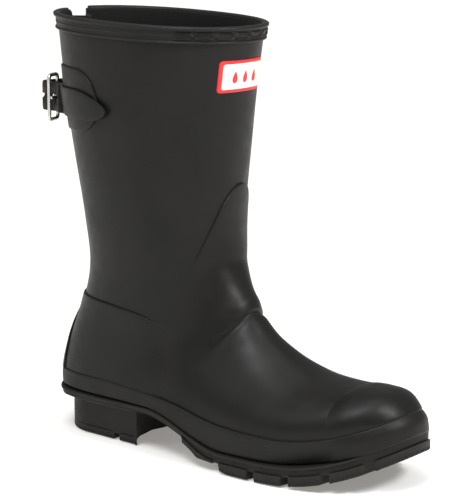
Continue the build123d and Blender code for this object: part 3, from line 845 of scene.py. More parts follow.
def build_toe_cap():
    """Layer over the toes."""
    edge = np.array([(190, 10), (192, 40), (194, 60), (198, 90)])
    v = even_angles(-2.3, 2.3, 240, 14.0)
    cap = panel("toe_cap_layer", UPPER, v, lambda x, y, z: np.interp(z, edge[:, 1], edge[:, 0]) - x,
                lambda x, y, z: z - foxing_top(x) + 1.0, GAP, PANEL, 1.6, 1.3,
                lambda x, y, z: smooth((x - 189) / 16 + 0.1))
    dress(cap, "toe_cap")


def arc_of_sole(start, end, count):
    """Part of the sole's outline between two points of its run, both in shares of its length."""
    whole = curve_through(SOLE_OUTLINE, 4000, closed=True)
    index = np.round(np.linspace(start, end, count) * 4000).astype(int) % 4000
    return whole[index]


def build_counter():
    """Layer round the heel, with a second small one at the back."""
    top = curve_through(
        [(-60, 99), (-22, 98), (24, 95.5), (52, 89.5), (68, 80), (76, 62), (80, 20)], 500)
    outline = arc_of_sole(-0.235, 0.235, 420)

    def profile(columns, x):
        low = foxing_top(x) - 1.0
        high = np.maximum(np.interp(x, top[:, 0], top[:, 1]), low + 0.2)
        return low, high

    layered_wall("counter_layer", outline, profile, GAP, PANEL, 26, "heel_counter",
                 lambda x, z: 1 - smooth((x - 44) / 26))
    tab_outline = arc_of_sole(-0.06, 0.06, 130)
    tab = curve_through(
        [(-30, 30), (-27, 60), (-17, 83), (0, 89), (17, 83), (27, 60), (30, 30)], 200)
    half = tab[100:]

    def tab_profile(columns, x):
        low = foxing_top(x) - 1.0
        y = np.abs(columns[:, 1])
        high = np.interp(y, half[:, 0], half[:, 1], right=30)
        return low, np.maximum(high, low + 0.2)

    layered_wall("kick_tab", tab_outline, tab_profile, 2 * GAP + PANEL, PANEL - GAP, 24, "heel_tab",
                 lambda x, z: 1.0 + 0 * x)


def layered_wall(name, outline, profile, base, thick, rows, node, fade):
    """Layer standing on the foxing strip, with a rounded top edge that follows a profile.
    fade(x, z) gives the share of its thickness it keeps, where it melts into the shell."""
    origins, directions = rays_around(outline)
    level = np.concatenate([directions, np.zeros((len(outline), 1))], axis=1)
    low_z, high_z = profile(outline, outline[:, 0])
    turn = np.linspace(0, np.pi / 2, 6)
    lift = np.concatenate([np.ones(rows), 0.35 + 0.65 * np.cos(turn)[1:], [0.3], np.zeros(4)])
    columns = []
    x = outline[:, 0].copy()
    y = outline[:, 1].copy()
    slope = np.gradient(high_z) / np.maximum(np.linalg.norm(np.gradient(outline, axis=0), axis=1), 1e-6)
    radius = np.minimum(1.1 * np.sqrt(1 + slope ** 2), 0.4 * (high_z - low_z) + 0.02)
    share = np.concatenate([np.linspace(0, 1, rows), np.ones(7), [0.75, 0.5, 0.0]])
    above = np.concatenate([np.full(rows, -1.0), np.sin(turn)[1:] - 1, [-1.2, -1.5], np.zeros(3)])
    for k in range(len(share)):
        for _ in range(4):
            low_z, high_z = profile(np.column_stack([x, y]), x)
            z = low_z + share[k] * (high_z - low_z) + above[k] * radius * (1 if k >= rows else share[k])
            starts = np.column_stack([origins, z])
            inner = cast(base, starts, level)
            x, y = inner[:, 0], inner[:, 1]
        outer = cast(base + thick, starts, level)
        share_kept = fade(x, z)
        rise = lift[k] * share_kept - 0.25 * (1 - share_kept)
        columns.append(inner + (outer - inner) * rise[:, None])
    points = np.stack(columns, axis=1)
    dress(grid_object(name, points, UPPER), node)


def build_back():
    """Strip over the back seam and the two bindings of the V."""
    z = np.linspace(99, 157.6, 60)
    half = np.full_like(z, 6.0)
    layer = strip("back_seam_strip", TRIM, np.column_stack([-half, z]), np.column_stack([half, z]),
                  "back", GAP, PANEL, 0.9, 0.25)
    dress(layer, "back_strip")
    z = np.linspace(158.5, rim_height(-44, RIM_BAND_HEIGHT + 0.1), 110)
    for side, word in ((-1, "lateral"), (1, "medial")):
        inner = side * gusset_half(z, 0.3)
        outer = side * gusset_half(z, 0.3 + 5.0)
        binding = strip("binding_" + word, TRIM, np.column_stack([inner, z]),
                        np.column_stack([outer, z]), "back", GAP, PANEL, 0.7, 0.2)
        dress(binding, "gusset_binding_" + word)


def build_gusset():
    """Pleated cloth that fills the V."""
    z = np.linspace(GUSSET_BOTTOM + 4, 285.0, 90)
    across = np.linspace(-1, 1, 41)
    half = gusset_half(z) + 0.1
    depth = GUSSET_FOLD * smooth((z - GUSSET_BOTTOM) / 70) + 0.5
    back = leg_point_column(z, np.pi)
    fold = (1 - np.abs(across) ** 1.4) ** 1.1
    ripple = 0.35 * np.sin(z / 7.5)[:, None] * np.sin(across * 5)[None, :]
    x = back[:, None] + 0.7 + depth[:, None] * fold[None, :] + ripple
    y = half[:, None] * across[None, :]
    outer = np.stack([x, y, z[:, None] + 0 * x], -1)
    inner = outer[:, ::-1] + np.array([1.0, 0, 0])
    points = np.concatenate([outer, inner], axis=1)
    cloth = grid_object("gusset_pleat", points, GUSSET_CLOTH)
    dress(cloth, "gusset", look="coated_fabric")


def leg_point_column(z, v):
    """x of the leg's face along one column at the given heights."""
    t = np.linspace(0, 6, 600)
    points = surface(t, np.full_like(t, v), 0.0)
    return np.interp(-z, -points[:, 2], points[:, 0])


# ---- rim band ------------------------------------------------------------------------

CHAIN_LENGTH = 14.0
CHAIN_HALF_HEIGHT = 1.8
CHAIN_REACH = 53.0             # the chain runs this far either side of the front
BAND_PROFILE = [
    (3.4, -2.0), (1.3, -2.0), (0.45, -1.5), (0.05, -0.6), (0.0, 0.4), (0.12, 1.4), (0.5, 2.15),
    (1.1, 2.55), (1.9, 2.6), (2.7, 2.3), (3.15, 1.75), (3.5, 1.35),
]
BAND_FOOT = [
    (9.3, 1.3), (9.5, 1.7), (9.8, 2.05), (10.3, 2.2), (10.9, 2.1), (11.3, 1.6), (11.5, 0.8), (11.5, 0.05),
    (9.0, 0.05), (6.0, 0.05), (4.0, 0.05),
]


def chain_relief(run, down):
    """Raised outline of long hexagons joined end to end, in the band's sunk field."""
    along = np.abs(np.mod(run, CHAIN_LENGTH) - CHAIN_LENGTH / 2)
    up = np.abs(down - 6.35)
    slanted = (along - CHAIN_LENGTH / 2 + 0.2 + up * 1.25) / 1.6
    edge = np.abs(np.maximum(up - CHAIN_HALF_HEIGHT, slanted))
    return 0.95 * smooth(1.3 - edge / 0.45)


def build_rim_band():
    """Raised band with a rolled top edge, a bead below and a chain of hexagons between."""
    end = math.asin((GUSSET_TOP_HALF + 0.3) / 54.0) * 1.06
    v = even_angles(-np.pi + end, np.pi - end, 820, 1.0)
    field = [(k, 1.3) for k in np.arange(3.75, 9.2, 0.24)]
    down, offset = np.array(BAND_PROFILE + field + BAND_FOOT).T
    down = np.tile(down, (len(v), 1))
    offset = np.tile(offset, (len(v), 1))
    sheet = Sheet(v)
    top = sheet.first_below(lambda x, y, z: z - rim_height(x))
    points = sheet.place(top[:, None], 0.0)[:, 0]
    run = np.concatenate([[0], np.cumsum(np.linalg.norm(np.diff(points, axis=0), axis=1))])
    run = run - run[len(run) // 2]
    middle = (down > 3.6) & (down < 9.25) & (offset > 1.2)
    shown = 1 - smooth((np.abs(run)[:, None] - CHAIN_REACH) / 2.0)
    offset = offset + np.where(middle, chain_relief(run[:, None], down) * shown, 0)
    comb = 0.28 * smooth(1.2 - np.abs(down - 6.35) / 0.5) * (1 - shown)
    offset = offset + np.where(middle, comb, 0)
    near_end = np.minimum(np.arange(len(v)), np.arange(len(v))[::-1])[:, None]
    round_off = np.sqrt(np.clip(1 - (1 - np.clip(near_end / 4.0, 0, 1)) ** 2, 0.12, 1))
    offset = -SHELL + (offset + SHELL) * round_off
    points = sheet.place(top[:, None] + down, offset)
    band = grid_object("rim_band_ring", points, TRIM, sharp=60)
    dress(band, "rim_band")


# ---- foxing strip and bumper ---------------------------------------------------------------

def ring_profile(height, thick_turns=6, crevice=0.0):
    """Rise and lift of a strip with a rounded top edge and a small ledge under it. A crevice
    leaves that share of the thickness open behind the top edge."""
    turn = np.linspace(np.pi / 2, 0, thick_turns)
    rise = [0.0, 0.0, 0.5, 1.2]
    lift = [0.0, 0.7, 0.95, 1.0]
    rise += list(np.linspace(1.8, height - 1.2, 9))
    lift += [1.0] * 9
    rise += list(height - 1.2 + 1.2 * np.cos(turn))
    lift += list(crevice + (1 - crevice) * np.sin(turn))
    rise += [height - 1.4, height - 2.0, height * 0.5]
    return np.array(rise), np.array(lift + [crevice * 0.9, 0.0, 0.0])


def build_foxing():
    """Strip round the whole boot over the join with the sole."""
    outline = curve_through(SOLE_OUTLINE, 900, closed=True)
    height = 14.0
    rise, open_lift = ring_profile(height, crevice=0.3)
    closed_lift = ring_profile(height)[1]
    at_toe = smooth((outline[:, 0] - 120) / 50)
    thinner = 1 - 0.45 * smooth((outline[:, 0] - 170) / 50)
    rows = []
    for k in range(len(rise)):
        def level(x, part=rise[k] / height):
            low = seat(x) + 0.3 + 1.3 * (1 - smooth((x - 10) / 60))
            return low + part * (foxing_top(x) - low)
        lift = (open_lift[k] + (closed_lift[k] - open_lift[k]) * at_toe) * thinner
        rows.append(wrap_points(outline, level, GAP, FOXING - GAP, [0.0], [lift])[:, 0])
    points = np.stack(rows, axis=1)
    dress(grid_object("foxing_ring", points, TRIM, True), "foxing_strip")


def build_bumper():
    """Second strip round the toe, thinning out at both ends."""
    whole = curve_through(SOLE_OUTLINE, 3000, closed=True)
    index = np.flatnonzero(whole[:, 0] > 196)
    outline = whole[index][::2]
    rise, lift = ring_profile(15.2, 5)
    lift = lift * smooth((17.0 - rise) / 8.0)
    near_end = np.minimum(np.arange(len(outline)), np.arange(len(outline))[::-1])
    fade = smooth(near_end / 22.0 + 0.05)
    base = FOXING * 0.5
    rows = [fade * value for value in lift]
    points = wrap_points(outline, seat, base, FOXING + BUMPER - 0.9 - base, rise + 0.3, rows)
    dress(grid_object("bumper_ring", points, TRIM), "toe_bumper")


# ---- strap, buckle and patches -----------------------------------------------------------

def build_patches():
    """D-shaped patches under the strap's free end and its fixed end."""
    shape = [(-24, 255.5), (-9, 255), (5, 254), (16, 246.5), (21.5, 233), (17, 220), (6, 213),
             (-9, 212), (-24, 211.5)]
    outline = even_points(np.vstack([curve_through(shape, 300), [shape[0]]]), 260, closed=True)
    for view, word in (("left", "lateral"), ("right", "medial")):
        rear = back_limit(PATCH_REAR + 0.2)
        clipped = np.column_stack([np.maximum(outline[:, 0], rear), outline[:, 1]])
        clipped = even_points(np.vstack([clipped, clipped[:1]]), 260, closed=True)
        spine = np.column_stack([np.clip(clipped[:, 0], rear + 14, 4), np.full(260, STRAP_Z + 2.5)])
        obj = pad("patch_" + word, TRIM, clipped, spine, view, GAP, PANEL, 1.0, 9)
        dress(obj, "strap_patch_" + word)


def back_limit(y):
    """x of the leg's face where it is y from the centreline at the strap's height."""
    v = np.linspace(np.pi * 0.6, np.pi, 200)
    points = np.array([leg_point(STRAP_Z, a, 0.0) for a in v])
    return float(np.interp(-y, -points[:, 1], points[:, 0]))


def strap_path(z):
    """Centreline of the whole strap at a height: free tip, buckle, loop, medial patch."""
    centre = STRAP_CLEAR + STRAP_THICK / 2
    points = [leg_point(z, radians(angle), centre)[:2] for angle in (269, 259, 248, 237, 227, SPLIT_ANGLE)]
    points.append((PIVOT[0] + 9, PIVOT[1] - 8.4))
    points.append((PIVOT[0] + 2, PIVOT[1] - 4.3))
    points.append((LOOP_CENTRE[0], LOOP_CENTRE[1] - LOOP_RADIUS))
    for turn in (40, 80, 120):
        x = LOOP_CENTRE[0] - LOOP_RADIUS * math.sin(radians(turn))
        y = LOOP_CENTRE[1] - LOOP_RADIUS * math.cos(radians(turn))
        points.append((x, y))
    for angle, extra in ((156, 0.6), (148, 0.2), (138, 0), (128, 0), (118, 0)):
        points.append(leg_point(z, radians(angle), centre + extra)[:2])
    return np.array(points, float)


STRAP_SAMPLES = 460


def build_strap():
    """The strap in one piece, with its holes cut through."""
    low, high = STRAP_Z - STRAP_WIDTH / 2, STRAP_Z + STRAP_WIDTH / 2
    lower = curve_through(strap_path(low), STRAP_SAMPLES)
    upper = curve_through(strap_path(high), STRAP_SAMPLES)
    middle = (lower + upper) / 2
    run = np.concatenate([[0], np.cumsum(np.linalg.norm(np.diff(middle, axis=0), axis=1))])
    taper = np.interp(run, [0, 1.0, 4.0, 9.0, 18.0, 30.0], [0.10, 0.26, 0.46, 0.68, 0.90, 1.0])
    half = STRAP_WIDTH / 2 * taper
    droop = 2.6 * (1 - smooth(run / 30.0))
    theta = np.linspace(0, TAU, 44, endpoint=False)
    across = power(np.cos(theta), 0.22)
    face = power(np.sin(theta), 0.55) * STRAP_THICK / 2
    face = face * (1 - 0.10 * np.exp(-((np.abs(across) - 0.86) / 0.05) ** 2))
    z = STRAP_Z - droop[:, None] + half[:, None] * across[None, :]
    part = (z - low) / (high - low)
    plan = lower[:, None, :] + (upper - lower)[:, None, :] * part[..., None]
    ahead = np.gradient(middle, axis=0)
    ahead /= np.linalg.norm(ahead, axis=1)[:, None]
    normal = np.stack([ahead[:, 1], -ahead[:, 0]], 1)
    plan = plan - normal[:, None, :] * face[None, :, None]
    points = np.concatenate([plan, z[..., None]], axis=-1)
    strap = grid_object("strap_band", points, TRIM, sharp=50)
    hinge = leg_point(STRAP_Z, radians(SPLIT_ANGLE), STRAP_CLEAR + STRAP_THICK / 2)[:2]
    split = run[int(np.argmin(np.linalg.norm(middle - hinge, axis=1)))]
    for distance in STRAP_HOLES:
        cut_slot(strap, middle, ahead, run, split + distance)
    return strap, middle, run, split


def cut_slot(strap, middle, ahead, run, distance):
    """Cut one long hole through the strap."""
    at = np.array([np.interp(distance, run, middle[:, k]) for k in range(2)])
    along = np.array([np.interp(distance, run, ahead[:, k]) for k in range(2)])
    along /= np.linalg.norm(along)
    through = np.array([along[1], -along[0]])
    outline = []
    for side, start in ((1, -90), (-1, 90)):
        for angle in np.linspace(start, start + 180, 10):
            outline.append((side * 3.1 + 1.7 * math.cos(radians(angle)), 1.7 * math.sin(radians(angle))))
    outline = np.array(outline)
    sides = []
    for depth in (-2.5, 2.5):
        plan = at + outline[:, :1] * along + depth * through
        sides.append(np.column_stack([plan, STRAP_Z + outline[:, 1]]))
    points = np.stack(sides, axis=0)
    cutter = grid_object("cutter", points, TRIM, sharp=50)
    subtract(strap, cutter)


def subtract(obj, cutter):
    """Cut one mesh out of another and drop the cutter."""
    modifier = obj.modifiers.new("cut", "BOOLEAN")
    modifier.operation = "DIFFERENCE"
    modifier.solver = "EXACT"
    modifier.object = cutter
    depsgraph = bpy.context.evaluated_depsgraph_get()
    mesh = bpy.data.meshes.new_from_object(obj.evaluated_get(depsgraph))
    obj.modifiers.remove(modifier)
    obj.data = mesh
    bpy.data.objects.remove(cutter)


def dress_strap(strap, middle, run, split):
    """Fix the strap's placement and hide the CAD strap pieces."""
    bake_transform(strap)
    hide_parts("strap", "strap_tip")


def on_pivot(points):
    """Move points drawn with +X from the pivot bar to the outer bar into place."""
    turn = radians(-90 + BUCKLE_LEAN)
    points = np.asarray(points, float)
    x = PIVOT[0] + points[..., 0] * math.cos(turn) - points[..., 1] * math.sin(turn)
    y = PIVOT[1] + points[..., 0] * math.sin(turn) + points[..., 1] * math.cos(turn)
    return np.stack([x, y, STRAP_Z + points[..., 2]], -1)


def tube(path, radius, sides=20, closed=True, flatten=1.0):
    """Tube along a path, as points: sections x sides."""
    ahead = np.roll(path, -1, axis=0) - np.roll(path, 1, axis=0) if closed else np.gradient(path, axis=0)
    ahead /= np.linalg.norm(ahead, axis=1)[:, None]
    side = np.cross(ahead, (0.0, 1.0, 0.0))
    side /= np.linalg.norm(side, axis=1)[:, None]
    up = np.cross(side, ahead)
    theta = np.linspace(0, TAU, sides, endpoint=False)
    radius = np.reshape(radius * np.ones(len(path)), (-1, 1, 1))
    ring = np.cos(theta)[None, :, None] * side[:, None] + flatten * np.sin(theta)[None, :, None] * up[:, None]
    return path[:, None, :] + radius * ring


def build_buckle():
    """Wire frame and prong of the buckle."""
    half = (BUCKLE_HEIGHT - BUCKLE_WIRE) / 2
    corner = 2.5
    outline = rounded_rectangle(BUCKLE_REACH / 2, -half, half, corner, 140)
    path = np.column_stack([outline[:, 0] + BUCKLE_REACH / 2, np.zeros(140), outline[:, 1]])
    frame_obj = grid_object("buckle_wire", on_pivot(tube(path, BUCKLE_WIRE / 2)), NICKEL, True)
    dress(frame_obj, "buckle_frame", body="buckle", look="nickel")
    inner = BUCKLE_WIRE / 2 + 0.08
    section = rounded_rectangle(0.55, -1.3, 1.3, 0.4, 24)
    theta = np.linspace(0, TAU, 48, endpoint=False)
    reach = inner + 0.55 + section[:, 0]
    ring = np.stack([np.cos(theta)[:, None] * reach, np.sin(theta)[:, None] * reach,
                     np.tile(section[:, 1], (48, 1))], -1)
    x = np.linspace(0, BUCKLE_REACH + 1.6, 30)
    width = 0.95 * np.sqrt(np.clip(1 - np.clip((x - x[-1] + 1.1) / 1.1, 0, 0.995) ** 2, 0, 1))
    rod = tube(np.column_stack([x, np.full(30, BUCKLE_WIRE / 2 + 1.0), np.zeros(30)]), width, 16, False)
    parts = [
        (on_pivot(ring), grid_faces(48, 24, True, True)),
        (on_pivot(rod), grid_faces(30, 16, False, True)),
    ]
    prong = join_parts("prong_pin", parts, NICKEL)
    dress(prong, "buckle_prong", body="prong", look="nickel")


def build_chape():
    """Rubber loop that holds the buckle, parted in the middle for the prong."""
    hole = BUCKLE_WIRE / 2 + 0.1
    parts = []
    theta = np.linspace(0, TAU, 40, endpoint=False)
    for low, high in ((-CHAPE_WIDTH / 2, -1.7), (1.7, CHAPE_WIDTH / 2)):
        section = rounded_rectangle(0.6, low, high, 0.4, 40)
        reach = hole + 0.6 + section[:, 0]
        ring = np.stack([PIVOT[0] + np.cos(theta)[:, None] * reach,
                         PIVOT[1] + np.sin(theta)[:, None] * reach,
                         STRAP_Z + np.tile(section[:, 1], (40, 1))], -1)
        parts.append((ring, grid_faces(40, 40, True, True)))
        parts.append(chape_tail(STRAP_Z + low, STRAP_Z + high, PIVOT[0] + 1.2))
    parts.append(chape_tail(STRAP_Z - 2.2, STRAP_Z + 2.2, PIVOT[0] + 4.4))
    dress(join_parts("chape_loop", parts, TRIM), "buckle_chape")


def chape_tail(low, high, start):
    """Strip from the loop in behind the lateral patch, between two heights."""
    end = (-27.5, -36.2)
    top = np.array([(start, PIVOT[1] - 2.4), (start + 3.4, PIVOT[1] - 3.2), end])
    outer = curve_through(top, 16)
    inner = outer + np.array([1.1, 1.9])
    loop = np.vstack([outer, inner[::-1]])
    levels = [(low, 0.8), (low + 0.35, 1.0), (high - 0.35, 1.0), (high, 0.8)]
    middle = loop.mean(axis=0)
    points = np.stack([np.column_stack([middle + (loop - middle) * (0.9 + 0.1 * s), np.full(len(loop), z)])
                       for z, s in levels], 0)
    return points, grid_faces(len(levels), len(loop), False, True)


# ---- label ----------------------------------------------------------------------------

def build_label():
    """Coloured label with a pale face and three raindrops."""
    base = rounded_rectangle(21, 242.5, 263.5, 2.2, 200)
    spine = np.column_stack([np.clip(base[:, 0], -13, 13), np.full(200, 253.0)])
    back = pad("label_frame", LABEL_RED, base, spine, "front", GAP, 0.95, 0.45, 8)
    dress(back, "label_base", look="label_red")
    face = rounded_rectangle(18.8, 244.7, 261.3, 1.2, 200)
    spine = np.column_stack([np.clip(face[:, 0], -13, 13), np.full(200, 253.0)])
    front = pad("label_field", LABEL_CREAM, face, spine, "front", 1.05, 0.45, 0.3, 8)
    dress(front, "label_face", look="label_cream")
    parts = []
    for y in (-9.5, 0.0, 9.5):
        theta = np.linspace(0, TAU, 60, endpoint=False)
        drop = np.column_stack([2.7 * np.sin(theta) * np.sin(theta / 2) ** 1.1, 3.9 * np.cos(theta)])
        drop = drop[:, :] + np.array([y, 252.6])
        centre = np.tile((y, 251.6), (60, 1))
        parts.append(pad_mesh(drop, centre, "front", 1.5, 0.35, 0.25, 3))
    drops = join_parts("label_drops", parts, LABEL_RED)
    dress(drops, look="label_red")


# ---- inside ------------------------------------------------------------------------------

def build_lining():
    """Knit lining of the leg."""
    join = np.array(LINING_JOIN, float)
    sides = even_angles(-np.pi + REAR_ANGLE, np.pi - REAR_ANGLE, 200, 2.0)
    rear = np.linspace(np.pi - REAR_ANGLE, np.pi + REAR_ANGLE, 70)[1:]

    def top(x, y, z):
        opening = np.where(x < 20, gusset_half(z, 0.3) - np.abs(y), -1.0)
        return np.maximum(z - rim_height(x, 2.2), opening)

    def bottom(x, y, z):
        return z - np.interp(x, join[:, 0], join[:, 1])

    # The lining's near-black colour carries painted shade for the inside of the leg, on top of its own dark
    # tone.
    lining = panel("leg_lining_knit", LINING_KNIT_PAINTED_SHADE, np.concatenate([sides, rear]), top, bottom,
                   -SHELL - GAP, GAP - LINING, 0.4, 3.0, level=True)
    dress(lining, "leg_lining", look="lining_knit")


# ---- outsole --------------------------------------------------------------------------------

def sole_edge(count):
    """The sole's outline, drawn in a little at the toe."""
    outline = curve_through(SOLE_OUTLINE, count, closed=True)
    directions = rays_around(outline)[1]
    return outline - directions * (2.2 * smooth((outline[:, 0] - 200) / 30))[:, None]


def plate_mesh():
    """The sole's plate with a lip round its upper edge."""
    outline = sole_edge(900)
    origins, directions = rays_around(outline)
    reach = np.linalg.norm(outline - origins, axis=1)
    profile = [(-2.4, 0.0), (-1.2, 0.0), (-0.45, -0.15), (-0.1, -0.5), (0.0, -1.0), (-0.15, -1.5),
               (-0.6, -1.9), (-1.1, -2.2), (-1.2, -2.8), (-1.15, -3.6)]
    rows = []
    for share in (0.0, 0.35, 0.8):
        at = origins + directions * ((reach - 2.6) * share)[:, None]
        rows.append(np.column_stack([at, seat(at[:, 0])]))
    flush = smooth((outline[:, 0] - 205) / 25)[:, None]
    for inset, rise in profile:
        at = outline + directions * (inset + (-1.2 - inset) * flush * (inset > -1.2))
        rows.append(np.column_stack([at, seat(at[:, 0]) + rise]))
    for inset, rise in ((-1.2, 0.9), (-1.5, 0.3), (-2.2, 0.0)):
        at = outline + directions * inset
        rows.append(np.column_stack([at, plate_bottom(at[:, 0]) + rise]))
    for share in (0.8, 0.35, 0.0):
        at = origins + directions * ((reach - 2.6) * share)[:, None]
        rows.append(np.column_stack([at, plate_bottom(at[:, 0])]))
    points = np.stack(rows, axis=1)
    return points, grid_faces(*points.shape[:2], True, False)


def clip_line(polygon, point, normal):
    """The part of a polygon on the side a normal points to."""
    depth = (polygon - point) @ normal
    kept = []
    for i in range(len(polygon)):
        k = (i + 1) % len(polygon)
        if depth[i] >= 0:
            kept.append(polygon[i])
        if (depth[i] >= 0) != (depth[k] >= 0):
            part = depth[i] / (depth[i] - depth[k])
            kept.append(polygon[i] + part * (polygon[k] - polygon[i]))
    return np.array(kept)


def shrink(polygon, amount):
    """Polygon moved inward; its points run anticlockwise."""
    ahead = np.roll(polygon, -1, axis=0) - np.roll(polygon, 1, axis=0)
    ahead /= np.maximum(np.linalg.norm(ahead, axis=1), 1e-9)[:, None]
    return polygon + amount * np.stack([-ahead[:, 1], ahead[:, 0]], 1)


def block_mesh(polygon, low, high, bevel=0.9, teeth=0.0):
    """Upright block from a plan polygon; low(x) and high(x) give its ends."""
    area = np.sum(polygon[:, 0] * np.roll(polygon[:, 1], -1) - np.roll(polygon[:, 0], -1) * polygon[:, 1])
    if area < 0:
        polygon = polygon[::-1]
    length = np.sum(np.linalg.norm(np.roll(polygon, -1, axis=0) - polygon, axis=1))
    count = max(int(length / 0.55) // 2 * 2, 24)
    ring = even_points(np.vstack([polygon, polygon[:1]]), count, closed=True)
    for _ in range(3):
        ring = (np.roll(ring, 1, axis=0) + 2 * ring + np.roll(ring, -1, axis=0)) / 4
    notch = np.where(np.arange(count) // 2 % 2 == 0, teeth, 0.0)
    toothed = ring + (shrink(ring, 1.0) - ring) * notch[:, None]
    middle = ring.mean(axis=0)
    rows = []
    for share in (0.0, 0.5):
        at = middle + (ring - middle) * share
        rows.append(np.column_stack([at, low(at[:, 0])]))
    for inset, rise, plan in ((bevel, 0.0, toothed), (bevel * 0.4, bevel * 0.2, toothed),
                              (0.0, bevel, toothed), (0.0, bevel + 1.4, toothed), (0.0, bevel + 1.7, ring)):
        at = shrink(plan, inset)
        rows.append(np.column_stack([at, low(at[:, 0]) + rise]))
    rows.append(np.column_stack([ring, high(ring[:, 0])]))
    for share in (0.5, 0.0):
        at = middle + (ring - middle) * share
        rows.append(np.column_stack([at, high(at[:, 0])]))
    points = np.stack(rows, axis=1)
    return points, grid_faces(*points.shape[:2], True, False)


def heel_outline():
    """Plan of the heel: straight sides, round back, scooped front."""
    side, back, corner_x = 33.5, 31.5, -8.0
    rear = arc((corner_x, back), (HEEL_BACK, 0), (corner_x, -back), 60)
    front = arc((HEEL_FRONT, -side), (HEEL_FRONT - HEEL_HOLLOW, 0), (HEEL_FRONT, side), 60)
    return np.vstack([rear, front])


def arc(start, through, end, count):
    """Points on a circle through three points, where the first and last mirror each other."""
    start, through, end = (np.array(p, float) for p in (start, through, end))
    half = abs(start[1])
    height = through[0] - start[0]
    radius = (half ** 2 + height ** 2) / (2 * abs(height))
    centre = np.array([through[0] - math.copysign(radius, height), 0.0])
    first = math.atan2(start[1] - centre[1], start[0] - centre[0])
    last = math.atan2(end[1] - centre[1], end[0] - centre[0])
    if height < 0 and last < 0:
        last += TAU
    if height < 0 and first < 0:
        first += TAU
    angle = np.linspace(first, last, count)
    return centre + radius * np.column_stack([np.cos(angle), np.sin(angle)])


def flat(height):
    """A constant height, as a function."""
    return lambda x: np.full_like(x, height)


OVERLAP = 0.3                  # halves of one block run into each other by this much


def heel_parts():
    """Heel block with two feet parted by a groove."""
    outline = heel_outline()
    parts = [block_mesh(outline, flat(4.5), flat(25.0), 0.5)]
    rear_cut = np.array([HEEL_GROOVE - HEEL_GROOVE_WIDTH / 2, 0])
    front_cut = np.array([HEEL_GROOVE + HEEL_GROOVE_WIDTH / 2, 0])
    rear = clip_line(outline, rear_cut, np.array([-1.0, 0]))
    front = clip_line(outline, front_cut, np.array([1.0, 0]))
    parts.append(block_mesh(rear, flat(0.0), flat(6.0), 0.8, 0.45))
    for side in (-1.0, 1.0):
        half = clip_line(front, np.array([0, -OVERLAP * side]), np.array([0, side]))
        parts.append(block_mesh(half, flat(0.0), flat(6.0), 0.8, 0.45))
    return parts


def tread_parts():
    """Forefoot lugs between the slanted grooves and the middle channel."""
    outline = sole_edge(500)
    lugs = []
    for side in (-1, 1):
        slant = radians(side * GROOVE_SLANT)
        ahead = np.array([math.cos(slant), math.sin(slant)])
        away = np.array([0.0, float(side)])
        rest = clip_line(outline, np.array([0.0, CHANNEL_Y + side * CHANNEL_WIDTH / 2]), away)
        rest = clip_line(rest, np.array([TREAD_START + 1.0, 0.0]), np.array([1.0, 0.0]))
        for x in GROOVES:
            centre = np.array([x, side * GROOVE_OUT])
            lugs.append(clip_line(rest, centre - ahead * GROOVE_WIDTH / 2, -ahead))
            rest = clip_line(rest, centre + ahead * GROOVE_WIDTH / 2, ahead)
        toe = clip_line(outline, np.array([0.0, CHANNEL_Y - OVERLAP * side]), away)
        lugs.append(clip_line(toe, centre + ahead * GROOVE_WIDTH / 2, ahead))
    return [block_mesh(lug, ground, lambda x: plate_bottom(x) + 1.2, 0.9, 0.4) for lug in lugs]


def build_outsole():
    """Plate, heel and lugs."""
    sole = join_parts("outsole_rubber", [plate_mesh(), *heel_parts(), *tread_parts()], SOLE)
    dress(sole, "outsole", look="rubber_sole")


def dress_hidden():
    """Finishes for the CAD pieces that are shown as they are."""
    looks = {
        "foot_lining": LINING_KNIT_PAINTED_SHADE, "heel_stiffener": STIFF, "toe_stiffener": STIFF,
        "insole_board": BOARD, "shank": STEEL, "footbed": FELT, "heel_filler": FOAM,
    }
    for node, material in looks.items():
        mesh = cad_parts[node].data
        mesh.materials.clear()
        mesh.materials.append(material)


# ---- studio -----------------------------------------------------------------------------------

CAMERA_TARGET = Vector((0.070, 0.0, 0.150))
CAMERA_DISTANCE = 1.300
CAMERA_HEIGHT = 0.395
CAMERA_ANGLE = 39.0
LENS = 153.677                 # mm on a 36 mm wide sensor
LENS_SHIFT = (0.06043, -0.05161)


def build_camera():
    """Camera low in front of the outer side."""
    camera = bpy.data.cameras.new("camera")
    camera.sensor_fit = "HORIZONTAL"
    camera.sensor_width = 36.0
    camera.lens = LENS
    camera.shift_x, camera.shift_y = LENS_SHIFT
    camera.clip_start = 0.05
    camera.clip_end = 20.0
    obj = bpy.data.objects.new("camera", camera)
    bpy.context.collection.objects.link(obj)
    turn = radians(CAMERA_ANGLE)
    obj.location = (CAMERA_TARGET.x + CAMERA_DISTANCE * math.sin(turn),
                    -CAMERA_DISTANCE * math.cos(turn), CAMERA_HEIGHT)
    obj.rotation_euler = (CAMERA_TARGET - obj.location).to_track_quat("-Z", "Y").to_euler()
    bpy.context.scene.camera = obj


FLOOR_GLOW = 0.26
FAR_GLOW = 0.6


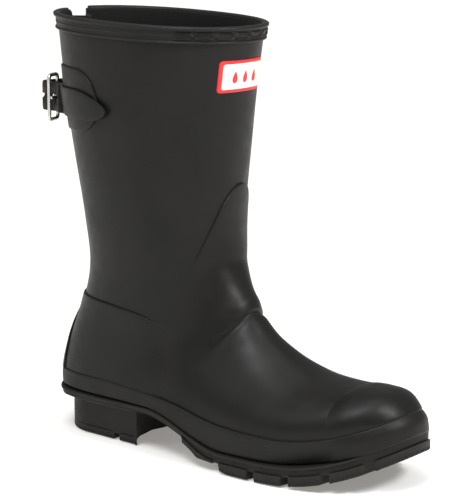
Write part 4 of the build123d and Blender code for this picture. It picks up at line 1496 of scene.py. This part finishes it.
def build_floor():
    """Pale floor, lit a little from below like a light table, more so far from the boot."""
    mesh = bpy.data.meshes.new("floor")
    size = 6.0
    mesh.from_pydata([(-size, -size, 0), (size, -size, 0), (size, size, 0), (-size, size, 0)], [],
                     [(0, 1, 2, 3)])
    obj = bpy.data.objects.new("floor", mesh)
    bpy.context.collection.objects.link(obj)
    obj.location.z = -0.0006
    material, nodes, link, shader = new_material("floor_paper")
    fibres = noise(nodes, link, coordinates(nodes), 60.0, 3.0)
    link(mix_colour(nodes, link, fibres, (0.74, 0.74, 0.74), (0.78, 0.78, 0.775)),
         shader.inputs["Base Color"])
    shader.inputs["Roughness"].default_value = 0.85
    shader.inputs["Emission Color"].default_value = (1.0, 0.96, 0.90, 1.0)
    away = nodes.new("ShaderNodeVectorMath")
    away.operation = "LENGTH"
    link(coordinates(nodes), away.inputs[0])
    glow = ramp(nodes, link, away.outputs["Value"], FLOOR_GLOW, FAR_GLOW, 0.5, 1.6)
    link(glow, shader.inputs["Emission Strength"])
    mesh.materials.append(material)


def add_light(name, location, target, size, power_watts, colour=(1.0, 1.0, 1.0)):
    """Soft area light aimed at a point."""
    light = bpy.data.lights.new(name, "AREA")
    light.shape = "RECTANGLE"
    light.size, light.size_y = size
    light.energy = power_watts
    light.color = colour
    obj = bpy.data.objects.new(name, light)
    bpy.context.collection.objects.link(obj)
    obj.location = location
    obj.rotation_euler = (Vector(target) - Vector(location)).to_track_quat("-Z", "Y").to_euler()


def build_studio():
    """White room with large soft lights."""
    world = bpy.data.worlds.new("white_room")
    world.use_nodes = True
    nodes = world.node_tree.nodes
    background = nodes["Background"]
    background.inputs["Color"].default_value = (1.0, 1.0, 1.0, 1.0)
    path = nodes.new("ShaderNodeLightPath")
    strength = nodes.new("ShaderNodeMapRange")
    strength.inputs["To Min"].default_value = 0.32
    strength.inputs["To Max"].default_value = 1.0
    world.node_tree.links.new(path.outputs["Is Camera Ray"], strength.inputs["Value"])
    world.node_tree.links.new(strength.outputs["Result"], background.inputs["Strength"])
    bpy.context.scene.world = world
    bpy.context.scene.view_settings.view_transform = "Standard"
    aim = (0.08, 0.0, 0.13)
    sun = bpy.data.lights.new("sky", "SUN")
    sun.energy = 1.0
    sun.angle = radians(50)
    bpy.context.collection.objects.link(bpy.data.objects.new("sky", sun))
    add_light("key", (-0.9, -1.3, 1.1), aim, (0.9, 0.9), 5)
    add_light("side", (0.28, -0.72, 1.25), (0.13, -0.02, 0.08), (0.6, 0.5), 14)
    add_light("toe", (1.2, 0.09, 1.06), (0.22, -0.01, 0.05), (0.32, 0.32), 17)


def main():
    """Build everything in order."""
    build_skin()
    build_instep()
    build_toe_cap()
    build_counter()
    build_back()
    build_gusset()
    build_rim_band()
    build_foxing()
    build_bumper()
    build_patches()
    dress_strap(*build_strap())
    build_buckle()
    build_chape()
    build_label()
    build_lining()
    build_outsole()
    dress_hidden()
    build_camera()
    build_floor()
    build_studio()


main()
